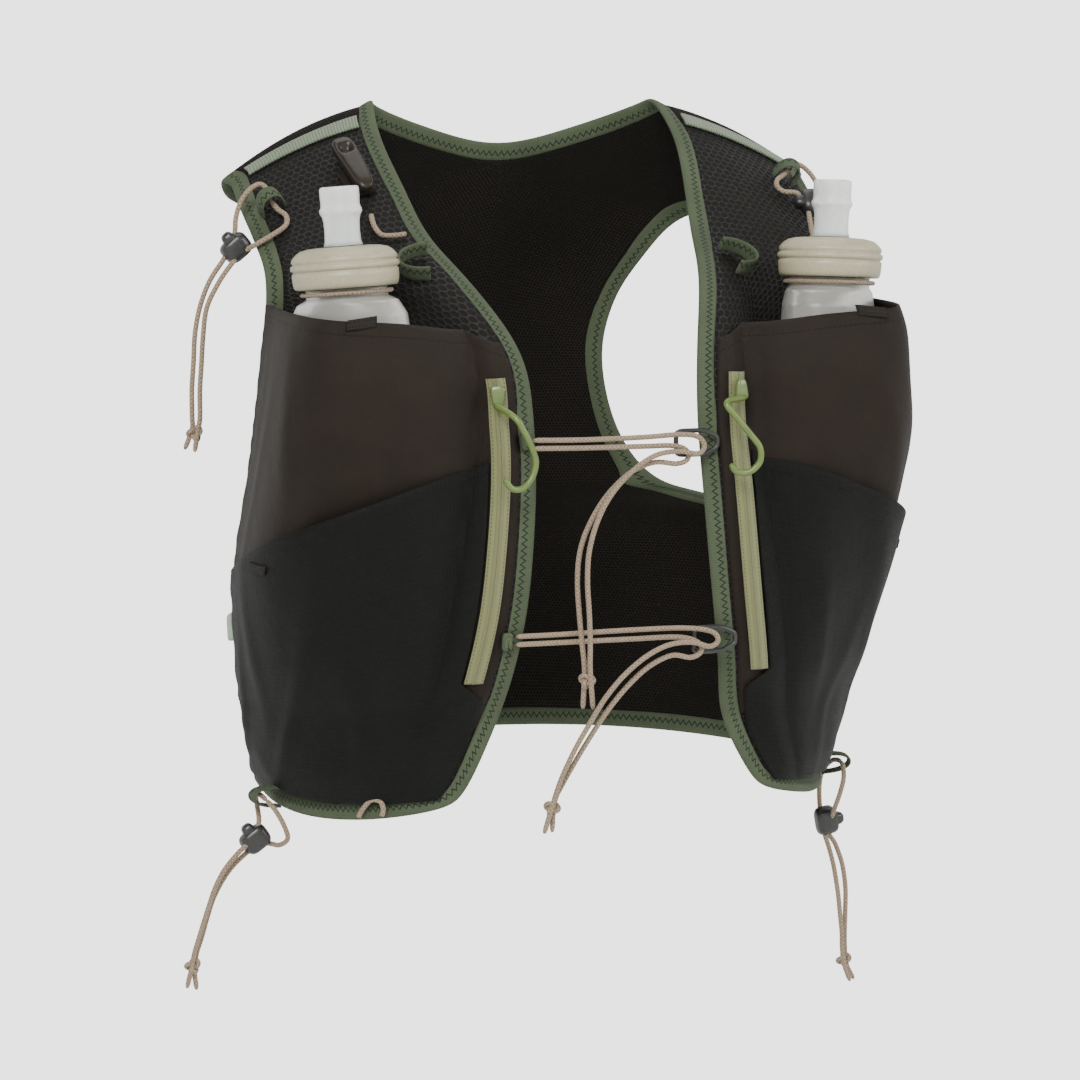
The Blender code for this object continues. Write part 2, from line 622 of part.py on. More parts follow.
# Each shoulder and hem adjuster is one cord that runs from its knotted end up through the lock, through its
# webbing loop and back. Route points in millimetres, chosen along the real cord; the lock sits at lock.
ADJUSTERS = {
    "shoulder_right": {
        "first_end": [(-192, 0, -173), (-188, 0.5, -163), (-188, 0, -156), (-188, 0, -143), (-187, 0, -129),
                      (-186, 0, -114), (-183, 0, -100), (-178, 0, -88), (-171, 0.5, -78), (-166.5, 1.5, -71)],
        "loop": [(-164, 3.5, -64), (-163, 5, -57), (-160, 6, -49), (-155, 7, -43), (-149.5, 8, -40.5),
                 (-146, 6.5, -43.5), (-144.8, 3.8, -49), (-142.5, -0.5, -53), (-139.5, -4.5, -56),
                 (-140.5, -8, -60.5), (-147, -10.5, -64.5), (-155.5, -9, -69.5)],
        "second_end": [(-162, -4, -74), (-168, -4, -80), (-175, -4.5, -89.5), (-181, -4.5, -101.5), (-183, -4.5, -115),
                       (-184, -4.5, -129), (-185, -4.5, -143), (-185, -4, -157), (-186, -3, -164),
                       (-188, -4.5, -174)],
        "knot": (-187, -1.5, -165),
        "lock": (-164.5, -1.2, -72),
        "lean": (0.75, -0.1, 0.65),
    },
    "hem_right": {
        "first_end": [(-198, -17, -446), (-195.5, -17, -436), (-194, -17.5, -428), (-191, -18, -418),
                      (-187, -18, -406), (-183, -18, -395), (-178, -18, -386), (-171, -18, -378),
                      (-165, -18, -372.5)],
        "loop": [(-159.5, -16, -364), (-158.7, -11, -356), (-159, -9.5, -351.5), (-159.3, -14, -348.8),
                 (-158.8, -20, -348.8), (-158, -26, -350), (-155, -30.5, -354), (-150.5, -31, -362),
                 (-147.5, -28, -370), (-150, -21, -374.5), (-154, -15, -374.5)],
        "second_end": [(-159, -13, -375), (-165, -13, -379), (-172, -13, -385), (-177.5, -13, -392), (-182.5, -13, -401),
                       (-186, -13, -411), (-189, -13, -421), (-192, -14, -429), (-193.5, -15, -437),
                       (-192, -13, -448)],
        "knot": (-194.5, -16, -435),
        "lock": (-161, -15.5, -371.8),
        "lean": (0.8, 0.0, 0.6),
    },
    "shoulder_left": {
        "first_end": [(147.5, -37, -159), (146.5, -38, -150), (146.5, -39, -140), (146, -40.5, -128),
                      (145, -41, -114), (144, -39.5, -101), (143, -37, -90), (142, -30.5, -81), (141.5, -20.5, -72),
                      (142, -14, -62.5), (142.8, -7.5, -54.5)],
        "loop": [(139, -3.5, -48.5), (132, -2, -47.5), (129.5, 1.5, -44.5), (131.5, 5.5, -41.5), (136, 9, -39.5),
                 (140.5, 12.5, -37.2), (144.5, 16, -34), (149.5, 18, -34.5), (154, 16, -38.5), (156.5, 11.5, -44.5),
                 (154, 4, -48.5)],
        "second_end": [(149.5, -5, -54.5), (148, -13, -64), (147, -20.5, -73), (147.5, -30, -82.5),
                       (148, -35, -92), (149, -37.5, -103), (150, -38.5, -115), (150.5, -37.5, -129),
                       (150.5, -36, -140), (150.5, -35, -150), (153, -33, -158)],
        "knot": (148.5, -36.5, -148),
        "lock": (146, -6, -53),
        "lean": (0.0, 0.6, 0.7),
    },
    "hem_left": {
        "first_end": [(168, -15.5, -470), (165, -14.5, -461), (163.5, -15, -452), (163, -15.5, -443),
                      (162, -15.5, -434), (160.5, -15.5, -421), (158, -15.5, -407), (155, -15.5, -396),
                      (152.5, -15, -388)],
        "loop": [(151.5, -11.5, -376), (152.5, -8, -364), (154.5, -8, -355.5), (157.8, -11, -350.5),
                 (158.8, -16, -349), (158.8, -22, -349), (158, -27, -351), (157, -30, -357), (156, -27, -366),
                 (155.5, -20.5, -376)],
        "second_end": [(156, -12.5, -388), (161, -10.5, -396), (165, -10.5, -407), (167, -10.5, -420),
                       (167, -10.5, -434), (166.8, -10.5, -443), (166.5, -11.5, -452), (167, -12.5, -461),
                       (172, -11, -470)],
        "knot": (165.5, -13, -459),
        "lock": (154, -14.5, -382),
        "lean": (0.2, 0.05, -1.0),
    },
}
LOCK_SIZE = (16 * MM, 10 * MM, 13 * MM)
CORD_CLEARANCE = 0.5 * MM


def knotted_cord(name, routes, knot_place):
    """One cord, or two side by side, joined by the knot near their ends."""
    strands = [as_mesh(tube(f"{name}{'_strand' * k}", smooth_route(r, CORD_STEP), CORD_DIAMETER, TAN))
               for k, r in enumerate(routes)]
    body = strands[0]
    combine(body, knot(f"{name}_knot", knot_place, KNOT_WIDTH, KNOT_HEIGHT), "UNION")
    for other in strands[1:]:
        combine(body, other, "UNION")
    return body


def make_adjuster(name, parts):
    """An adjuster's cord, and the cord lock that its two strands run through."""
    route = parts["first_end"] + parts["loop"] + parts["second_end"]
    knotted_cord(f"adjuster_cord_{name}", [route], parts["knot"])
    lean = unit(parts["lean"])
    across = unit(np.cross(lean, [0.0, 1.0, 0.0]))
    matrix = Matrix.Identity(4)
    for column, axis in enumerate((lean, np.cross(across, lean), across)):
        for line in range(3):
            matrix[line][column] = axis[line]
    matrix.translation = Vector([c * MM for c in parts["lock"]])
    lock = block(f"cord_lock_{name}", LOCK_SIZE, matrix, HARD_BLACK, 2 * MM)
    points = smooth_route(route, CORD_STEP)
    near = np.linalg.norm(points - np.array(parts["lock"]) * MM, axis=1) < 3 * LOCK_SIZE[0]
    runs = np.split(points, np.flatnonzero(np.diff(near.astype(int))) + 1)
    kept = [run for run, k in zip(runs, np.split(near, np.flatnonzero(np.diff(near.astype(int))) + 1)) if k[0]]
    for run in kept:
        bore = as_mesh(tube(f"{name}_bore", run, CORD_DIAMETER + 2 * CORD_CLEARANCE, HARD_BLACK))
        combine(lock, bore, "DIFFERENCE")


ARCH_HEIGHT = 12 * MM
ARCH_WIDTH = 8 * MM
ARCH_SPAN = 12 * MM
HEM_ARCH_HEIGHT = 15.5 * MM
HEM_ARCH_SPAN = 9.5 * MM


def make_arch(name, u, v, side, span, along_row, height=ARCH_HEIGHT, base=None):
    """A loop of webbing sewn down at both ends: it stands on the surface like a low arch."""
    base = PANEL_WALL / 2 + CLEARANCE + WEBBING_WALL if base is None else base
    matrix = np.array(frame_at(front, u, v, side, base))
    turn = np.linspace(0, math.pi, 9)
    low = np.clip(np.sin(turn), 0, 1) ** 0.6 * height
    reach = -np.cos(turn) * span / 2
    lines = []
    for edge in (-ARCH_WIDTH / 2, ARCH_WIDTH / 2):
        x, y = (reach, 0 * reach + edge) if along_row else (0 * reach + edge, reach)
        lines.append(np.stack([x, y, low], 1) @ matrix[:3, :3].T + matrix[:3, 3])
    cloth(name, np.stack(lines, 1), WEBBING_WALL, SAGE)


def make_edge_loop(side):
    """The loop of webbing that stands out from the front binding on the chest."""
    v = EDGE_LOOP_ROW
    matrix = np.array(frame_at(front, 0.13, v, side, PANEL_WALL / 2 + CLEARANCE))
    turn = np.linspace(-math.pi / 2, math.pi / 2, 9)
    x = 1 * MM + np.cos(turn) ** 0.8 * EDGE_LOOP_REACH
    y = np.sin(turn) * EDGE_LOOP_SPAN / 2
    lines = [np.stack([x, y, 0 * x + z], 1) @ matrix[:3, :3].T + matrix[:3, 3]
             for z in (0.3 * MM, EDGE_LOOP_WIDTH)]
    cloth(f"edge_loop_{side_name(side)}", np.stack(lines, 1), WEBBING_WALL, SAGE)


EDGE_LOOP_ROW = 3.7
EDGE_LOOP_REACH = 15 * MM
EDGE_LOOP_SPAN = 20 * MM
EDGE_LOOP_WIDTH = 9 * MM

# The sternum cords: from their anchor on the wearer's right binding across to the hook, back through it and down
# to the knot, in millimetres. Both strands of each are listed.
STERNUM = {
    "upper": {
        "strands": (
            [(-45.5, -114.5, -162.5), (-20, -115, -163), (10, -117, -162.5), (30, -119.2, -161.5), (39, -119.8, -163),
             (42, -120.5, -167.5), (38, -122, -171), (28, -122.3, -169.5), (16, -122.3, -171), (4, -122.3, -178),
             (-7, -122.3, -189), (-14.5, -122.3, -202), (-19, -122.3, -217), (-20, -122.3, -232),
             (-19, -122.3, -249), (-18.5, -122.3, -264), (-18.5, -122.3, -277), (-17, -122.3, -296)],
            [(-45.5, -114.5, -166.5), (-20, -115, -167), (10, -117, -167), (26, -119.2, -167), (33, -119.4, -169.5),
             (33.5, -119.2, -174), (28, -118.8, -176), (16, -118.8, -175), (3, -118.8, -180), (-9, -118.8, -191),
             (-17.5, -118.8, -204), (-22.5, -118.8, -217), (-24, -118.8, -232), (-23, -118.8, -249),
             (-21.5, -118.8, -264), (-20.5, -119.5, -277), (-21.5, -120, -296)],
        ),
        "knot": (-19.7, -120.5, -282),
        "hook": (39.5, -116.4, -166),
        "anchor": (0.03, 6.22),
    },
    "lower": {
        "strands": (
            [(-55.5, -118.5, -258.5), (-35, -115.5, -259), (6, -115.5, -258.5), (32, -121, -258), (45, -124, -260),
             (48, -125, -264.5), (43, -126.3, -267), (34, -126.6, -264.5), (22, -126.6, -265), (10, -126.6, -270),
             (-2, -126.6, -279), (-12, -126.6, -290), (-20, -126.6, -302), (-28, -126.6, -315),
             (-35, -126.6, -329), (-39, -126.6, -340), (-44, -126.6, -356)],
            [(-55.5, -118.5, -262.5), (-35, -115.5, -263), (6, -115.5, -263), (29, -120.5, -262.5), (38.5, -123.3, -265.5),
             (39.5, -123.3, -270), (34, -123.3, -272.5), (24, -123.3, -271), (12, -123.3, -276), (1, -123.3, -285),
             (-9, -123.3, -296), (-17, -123.3, -307), (-25, -123.3, -319), (-33, -123.3, -332),
             (-37.5, -123.5, -341), (-39, -124, -356)],
        ),
        "knot": (-39.5, -125, -344),
        "hook": (48.5, -119, -264.5),
        "anchor": (0.03, 8.52),
    },
}
HOOK_LENGTH = 22 * MM
HOOK_HEIGHT = 12 * MM
HOOK_WIRE = 2.2 * MM


def make_sternum_strap(level, parts):
    """A sternum cord with its knot, the hook that it runs through and the anchor that it starts from."""
    knotted_cord(f"sternum_cord_{level}", list(parts["strands"]), parts["knot"])
    hook = np.array(parts["hook"]) * MM
    half, tall = HOOK_LENGTH / 2, HOOK_HEIGHT / 2
    outline = [(-half, -tall * 0.8), (-half, tall * 0.8), (-half * 0.8, tall), (half * 0.35, tall),
               (half, tall * 0.45), (half, -tall * 0.45), (half * 0.35, -tall), (-half * 0.8, -tall)]
    points = [(hook[0] + x, hook[1], hook[2] + z) for x, z in outline]
    tube(f"sternum_hook_{level}", points, HOOK_WIRE, HARD_BLACK, closed=True)
    stand = BINDING_WALL / 2 + CLEARANCE + ANCHOR_SIZE[2] / 2 + 0.3 * MM
    block(f"cord_anchor_{level}", ANCHOR_SIZE, frame_at(front, *parts["anchor"], -1, stand), SAGE, 0.6 * MM)


ANCHOR_SIZE = (5 * MM, 9 * MM, 3 * MM)
LID_SEAT = (0.63, 3.2, 0.92)
BASE_SEAT = (0.40, 8.0, 0.45)
FLASK_SECTIONS = (
    # height, width, thickness: shares of FLASK_HEIGHT, FLASK_WIDTH and FLASK_THICK, from the neck down
    (0.0, 0.57, 0.86),
    (0.03, 0.57, 0.86),
    (0.045, 0.74, 0.90),
    (0.09, 0.88, 0.92),
    (0.25, 0.97, 0.92),
    (0.55, 1.0, 0.94),
    (0.8, 0.99, 0.88),
    (0.93, 0.92, 0.62),
    (1.0, 0.78, 0.24),
)
LID_PROFILE = (
    # radius share of LID_DIAMETER, height share of LID_HEIGHT up from the lid's foot
    (0.0, 1.0), (0.24, 1.0), (0.40, 0.94), (0.46, 0.80), (0.487, 0.66), (0.47, 0.60), (0.50, 0.52), (0.485, 0.42),
    (0.475, 0.10), (0.455, 0.0), (0.0, 0.0),
)
VALVE_PROFILE = (
    # radius share of VALVE_DIAMETER, height share of VALVE_HEIGHT up from the lid
    (0.0, 1.0), (0.40, 1.0), (0.46, 0.96), (0.46, 0.66), (0.50, 0.60), (0.50, 0.54), (0.46, 0.50), (0.42, 0.0),
    (0.0, 0.0),
)


def flask_frame(side):
    """A matrix at the foot of the lid: z up the flask's axis, x across its width and y through its thickness."""
    ends = []
    for share, row, stand in (LID_SEAT, BASE_SEAT):
        ends.append(front(np.array([share]), np.array([row]), stand * FLASK_THICK)[0])
    chord = front(np.array([0.8]), np.array([6.0]))[0] - front(np.array([0.2]), np.array([6.0]))[0]
    mirror = np.array([side, 1, 1])
    axis = unit((ends[0] - ends[1]) * mirror)
    wide = chord * mirror * side
    wide = unit(wide - axis * np.dot(wide, axis))
    matrix = Matrix.Identity(4)
    centre = ends[0] * mirror - axis * LID_HEIGHT / 2
    for column, part in enumerate((wide, np.cross(axis, wide), axis, centre)):
        for line in range(3):
            matrix[line][column] = part[line]
    return matrix


def turned(name, profile, wide, tall, matrix, finish, steps):
    """A profile turned about the flask's axis."""
    points = [(r * wide, 0.0, z * tall) for r, z in profile]
    mesh = bpy.data.meshes.new(name)
    mesh.from_pydata(points, [(k, k + 1) for k in range(len(points) - 1)], [])
    obj = add(name, mesh, finish)
    obj.matrix_world = matrix
    screw = obj.modifiers.new("turn", "SCREW")
    screw.steps = screw.render_steps = steps
    screw.use_merge_vertices = True
    screw.merge_threshold = 0.00001
    screw.use_smooth_shade = True
    return obj


def make_flask(side):
    """A soft flask: film body, screw lid, bite valve and the elastic ring round its neck."""
    matrix = flask_frame(side)
    name = side_name(side)
    turned(f"flask_lid_{name}", LID_PROFILE, LID_DIAMETER, LID_HEIGHT, matrix, LID, 16)
    above = matrix @ Matrix.Translation((0, 0, LID_HEIGHT + CLEARANCE))
    turned(f"flask_valve_{name}", VALVE_PROFILE, VALVE_DIAMETER, VALVE_HEIGHT, above, SILICONE, 12)
    turn = np.linspace(0, 2 * math.pi, 17)[:-1]
    frame = np.array(matrix)
    rings = []
    for height, wide, thick in FLASK_SECTIONS:
        x = np.cos(turn) * wide * FLASK_WIDTH / 2
        y = np.sin(turn) * thick * FLASK_THICK / 2
        rings.append(np.stack([x, y, 0 * x - CLEARANCE - height * FLASK_HEIGHT], 1) @ frame[:3, :3].T + frame[:3, 3])
    points = np.stack(rings)
    mesh = grid_mesh(f"flask_body_{name}", points[::-1], closed_columns=True)
    shape = bmesh.new()
    shape.from_mesh(mesh)
    shape.edges.ensure_lookup_table()
    bmesh.ops.holes_fill(shape, edges=[e for e in shape.edges if e.is_boundary], sides=0)
    bmesh.ops.recalc_face_normals(shape, faces=shape.faces)
    shape.to_mesh(mesh)
    shape.free()
    add(f"flask_body_{name}", mesh, FILM)
    ring_height = -CLEARANCE - 0.014 * FLASK_HEIGHT
    wide = 0.57 * FLASK_WIDTH / 2 + NECK_CORD / 2 + 0.7 * MM
    thick = 0.86 * FLASK_THICK / 2 + NECK_CORD / 2 + 0.7 * MM
    circle = np.linspace(0, 2 * math.pi, 17)[:-1]
    ring = np.stack([np.cos(circle) * wide, np.sin(circle) * thick, 0 * circle + ring_height], 1)
    tube(f"flask_bungee_{name}", ring @ frame[:3, :3].T + frame[:3, 3], NECK_CORD, TAN, closed=True)


NECK_CORD = 2.2 * MM


def pull_route(side):
    """The zip pull in millimetres: from the slider down, and round in a loop."""
    return PULL_LEFT if side > 0 else PULL_RIGHT


PULL_RIGHT = [(-59, -127, -150), (-55, -129, -157), (-51, -129, -165), (-49, -128.5, -172), (-51, -129, -179),
              (-56, -130, -184), (-62, -131, -184), (-66, -131, -179)]
PULL_LEFT = [(52, -125, -146), (57, -128, -154), (63, -130.5, -162), (67, -132, -168), (67, -132, -175),
             (62, -131, -180), (56, -129, -180), (53, -128, -176)]


def make_zip_pull(side):
    """The cord pull with its lime sleeve, hanging from the slider."""
    points = smooth_route(pull_route(side), PULL_DIAMETER * 1.6)
    tube(f"zip_pull_{side_name(side)}", points, PULL_DIAMETER, LIME)


def surface_tube(name, route, stand, diameter, side, finish):
    """A cord that lies on the front panel: its route is shares of a row and row numbers."""
    route = np.array(route, float)
    fine = spline(route, np.linspace(0, len(route) - 1, 8 * len(route)))
    points = front(fine[:, 0], fine[:, 1]) + outward(front, fine[:, 0], fine[:, 1]) * stand
    points = points * np.array([side, 1, 1])
    lengths = np.concatenate([[0], np.cumsum(np.linalg.norm(np.diff(points, axis=0), axis=1))])
    wanted = np.linspace(0, lengths[-1], max(4, round(lengths[-1] / (2.5 * diameter)) + 1))
    tube(name, np.stack([np.interp(wanted, lengths, points[:, k]) for k in range(3)], 1), diameter, finish)


WHISTLE_SIZE = (11 * MM, 38 * MM, 7 * MM)
HOLDER_SIZE = (15 * MM, 18 * MM, 1.2 * MM)


def make_whistle():
    """The whistle on the right shoulder, its holder of webbing and the cord that ties it to the binding."""
    base = PANEL_WALL / 2 + CLEARANCE + 0.8 * MM
    place = frame_at(front, 0.29, 1.75, -1, base + HOLDER_SIZE[2] / 2)
    block("whistle_holder", HOLDER_SIZE, place, BROWN, 0.3 * MM)
    above = frame_at(front, 0.285, 1.5, -1, base + HOLDER_SIZE[2] + CLEARANCE + 1.2 * MM + WHISTLE_SIZE[2] / 2)
    block("whistle", WHISTLE_SIZE, above, WHISTLE, 2 * MM)
    route = [(0.30, 2.50), (0.31, 2.75), (0.29, 2.95), (0.22, 3.0), (0.15, 3.0)]
    surface_tube("whistle_cord", route, 3.2 * MM, CORD_DIAMETER, -1, TAN)


def make_hem_loop():
    """The short cord loop sewn to the right front hem."""
    route = [(0.20, 11.95), (0.205, 11.75), (0.225, 11.52), (0.25, 11.45), (0.275, 11.52), (0.29, 11.75), (0.295, 11.95)]
    surface_tube("hem_cord_loop", route, 4.2 * MM, CORD_DIAMETER, -1, TAN)


BUCKLE_SIZE = (12 * MM, 14 * MM, 4 * MM)


def make_side_strap(side):
    """The short side strap below the armhole, with its moulded buckle."""
    u = np.linspace(0.80, 0.985, 6)
    low, high = 11.62, 11.37
    rise = BINDING_WALL / 2 + CLEARANCE + WEBBING_WALL / 2 + 0.8 * MM
    rows = []
    for v in (high, low):
        normal = -outward(back, u, v + 0 * u)
        rows.append(back(u, v + 0 * u) + normal * rise)
    name = side_name(side)
    cloth(f"side_strap_{name}", np.stack(rows, 1), WEBBING_WALL, SAGE, side)
    u, v = np.array([0.93]), np.array([11.5])
    normal = -outward(back, u, v)[0]
    along = unit(back(u + 0.01, v) - back(u - 0.01, v))[0]
    stand = rise + WEBBING_WALL / 2 + CLEARANCE + 0.5 * MM + BUCKLE_SIZE[2] / 2
    mirror = np.array([side, 1, 1])
    normal, along, place = normal * mirror, along * mirror, (back(u, v)[0] + normal * stand) * mirror
    matrix = Matrix.Identity(4)
    for column, axis in enumerate((along, np.cross(normal, along), normal, place)):
        for line in range(3):
            matrix[line][column] = axis[line]
    block(f"side_buckle_{name}", BUCKLE_SIZE, matrix, BUCKLE)


def main():
    """Builds the vest's panels first, and then what is sewn to them."""
    make_back_panel()
    make_front_binding()
    make_back_hem_binding()
    for side in (-1, 1):
        make_front_panel(side)
        make_armhole_binding(side)
        make_flask_pocket(side)
        make_lower_pocket(side)
        make_shoulder_webbing(side)
        make_zip_tape(side)
        make_zip_slider(side)
        make_zip_pull(side)
        make_edge_loop(side)
        make_flask(side)
        make_side_strap(side)
    for name, parts in ADJUSTERS.items():
        make_adjuster(name, parts)
    make_arch("shoulder_loop_right", 0.83, 1.55, -1, ARCH_SPAN, True)
    make_arch("shoulder_loop_left", 0.74, 1.1, 1, ARCH_SPAN, True)
    stand = BINDING_WALL / 2 + CLEARANCE + WEBBING_WALL
    for side in (-1, 1):
        make_arch(f"hem_loop_{side_name(side)}", 0.72, 11.7, side, HEM_ARCH_SPAN, False, HEM_ARCH_HEIGHT, stand)
    for level, parts in STERNUM.items():
        make_sternum_strap(level, parts)
    make_whistle()
    make_hem_loop()


main()
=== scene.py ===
"""The look of a running hydration vest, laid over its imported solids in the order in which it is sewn."""

import math

import bpy
import numpy as np
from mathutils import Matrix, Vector


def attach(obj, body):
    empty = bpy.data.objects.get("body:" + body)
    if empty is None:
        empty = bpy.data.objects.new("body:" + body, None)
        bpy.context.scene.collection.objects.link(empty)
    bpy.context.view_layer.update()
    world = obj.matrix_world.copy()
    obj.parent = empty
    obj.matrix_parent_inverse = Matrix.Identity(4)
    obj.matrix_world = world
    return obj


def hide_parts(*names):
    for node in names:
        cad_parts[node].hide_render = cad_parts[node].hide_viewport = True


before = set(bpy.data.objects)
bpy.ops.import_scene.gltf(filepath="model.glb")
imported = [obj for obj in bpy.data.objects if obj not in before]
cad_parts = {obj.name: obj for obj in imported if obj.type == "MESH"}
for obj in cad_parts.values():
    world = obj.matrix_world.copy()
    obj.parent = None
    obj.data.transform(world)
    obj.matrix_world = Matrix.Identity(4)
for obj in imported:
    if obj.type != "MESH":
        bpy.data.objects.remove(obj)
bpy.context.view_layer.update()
MM = 0.001

# The view: a camera a little above the chest, turned to the wearer's right, with a long lens, and a pale round
# studio whose floor rises into its wall. Its own glow is the soft light, and three panels model the folds.
VIEW_TURN = math.radians(-19)
VIEW_RISE = math.radians(7)
VIEW_DISTANCE = 2.2
VIEW_LENS = 141
VIEW_CENTRE = np.array([-0.0026, 0.0, -0.2266])
STUDIO_FLOOR = -0.66
STUDIO_RADIUS = 3.4
STUDIO_COVE = 1.3
STUDIO_HEIGHT = 3.6
STUDIO_GLOW = 0.42
STUDIO_SEEN = 2.87
SHEET = ((False, False), (False, False))
TUBE = ((False, True), (True, True))
RING = ((True, True), (False, False))
FOLDED = ((False, True), (False, True))
STUDIO_LIGHTS = (
    # name, x, y, z, size, watts
    ("key_panel", -1.1, -2.0, 1.6, 1.2, 86),
    ("side_panel", 1.9, -1.5, 0.9, 1.2, 30),
    ("top_panel", 0.2, 0.6, 2.2, 1.8, 30),
)


def toward(place, target):
    """The turn that points an object's own -Z from place to target."""
    return (Vector(target) - Vector(place)).to_track_quat("-Z", "Y").to_euler()


lens = bpy.data.cameras.new("camera")
lens.lens = VIEW_LENS
lens.sensor_width = 36
camera = bpy.data.objects.new("camera", lens)
bpy.context.scene.collection.objects.link(camera)
view_way = np.array([math.sin(VIEW_TURN) * math.cos(VIEW_RISE), -math.cos(VIEW_TURN) * math.cos(VIEW_RISE),
                     math.sin(VIEW_RISE)])
camera.location = VIEW_CENTRE + VIEW_DISTANCE * view_way
camera.rotation_euler = toward(camera.location, VIEW_CENTRE)
bpy.context.scene.camera = camera

for light_name, x, y, z, size, watts in STUDIO_LIGHTS:
    panel = bpy.data.lights.new(light_name, "AREA")
    panel.size = size
    panel.energy = watts
    lamp = bpy.data.objects.new(light_name, panel)
    bpy.context.scene.collection.objects.link(lamp)
    lamp.location = (x, y, z)
    lamp.rotation_euler = toward((x, y, z), VIEW_CENTRE)


def linear(red, green, blue):
    """A colour read as 8-bit sRGB, in the linear values that the shader takes."""
    share = np.array([red, green, blue]) / 255
    low, high = share / 12.92, ((share + 0.055) / 1.055) ** 2.4
    return tuple(float(c) for c in np.where(share <= 0.04045, low, high))


def lay_grid(name, points, uv, form):
    """A mesh of quads over a grid of points. Its form says whether the rows and the columns close on themselves,
    where uv has one more, and whether the first and the last row are capped."""
    closed, caps = form
    rows, columns = points.shape[:2]
    i, j = np.meshgrid(np.arange(rows - (not closed[0])), np.arange(columns - (not closed[1])), indexing="ij")
    i, j = i.ravel(), j.ravel()
    corners = np.stack([np.stack([i, j], 1), np.stack([i + 1, j], 1), np.stack([i + 1, j + 1], 1),
                        np.stack([i, j + 1], 1)], 1)
    faces = ((corners[..., 0] % rows) * columns + corners[..., 1] % columns).tolist()
    flat = [uv[corners[..., 0], corners[..., 1]].reshape(-1, 2)]
    if caps[0]:
        faces.append(list(range(columns)))
        flat.append(uv[0, :columns])
    if caps[1]:
        faces.append([(rows - 1) * columns + k for k in range(columns)][::-1])
        flat.append(uv[rows - 1, :columns][::-1])
    mesh = bpy.data.meshes.new(name)
    mesh.from_pydata(points.reshape(-1, 3).tolist(), [], faces)
    layer = mesh.uv_layers.new(name="cloth")
    layer.data.foreach_set("uv", np.concatenate(flat).ravel().astype(np.float32))
    mesh.shade_smooth()
    return mesh


studio_turn = np.linspace(0, 2 * math.pi, 97)[:-1]
cove_turn = np.linspace(0, math.pi / 2, 17)
studio_r = np.concatenate([[0.02, 1.0], STUDIO_RADIUS - STUDIO_COVE + STUDIO_COVE * np.sin(cove_turn),
                           [STUDIO_RADIUS]])
studio_z = STUDIO_FLOOR + np.concatenate([[0, 0], STUDIO_COVE * (1 - np.cos(cove_turn)), [STUDIO_HEIGHT]])
studio_points = np.stack([
    studio_r[:, None] * np.cos(studio_turn), studio_r[:, None] * np.sin(studio_turn),
    studio_z[:, None] + 0 * studio_turn], -1)
studio_uv = np.zeros((len(studio_r), len(studio_turn) + 1, 2))
studio = bpy.data.objects.new(
    "studio", lay_grid("studio", studio_points, studio_uv, ((False, True), (True, False))))
bpy.context.scene.collection.objects.link(studio)
pale = bpy.data.materials.new("studio_paper")
pale.use_nodes = True
nodes, links = pale.node_tree.nodes, pale.node_tree.links
paper = nodes["Principled BSDF"]
paper.inputs["Base Color"].default_value = (*linear(200, 200, 199), 1)
paper.inputs["Roughness"].default_value = 1.0
paper.inputs["Emission Color"].default_value = (*linear(255, 255, 254), 1)
paper.inputs["Emission Strength"].default_value = STUDIO_GLOW
backdrop = nodes.new("ShaderNodeEmission")
backdrop.inputs["Color"].default_value = (*linear(255, 255, 254), 1)
backdrop.inputs["Strength"].default_value = STUDIO_SEEN
seen = nodes.new("ShaderNodeLightPath")
either = nodes.new("ShaderNodeMixShader")
links.new(seen.outputs["Is Camera Ray"], either.inputs[0])
links.new(paper.outputs[0], either.inputs[1])
links.new(backdrop.outputs[0], either.inputs[2])
links.new(either.outputs[0], nodes["Material Output"].inputs["Surface"])
studio.data.materials.append(pale)

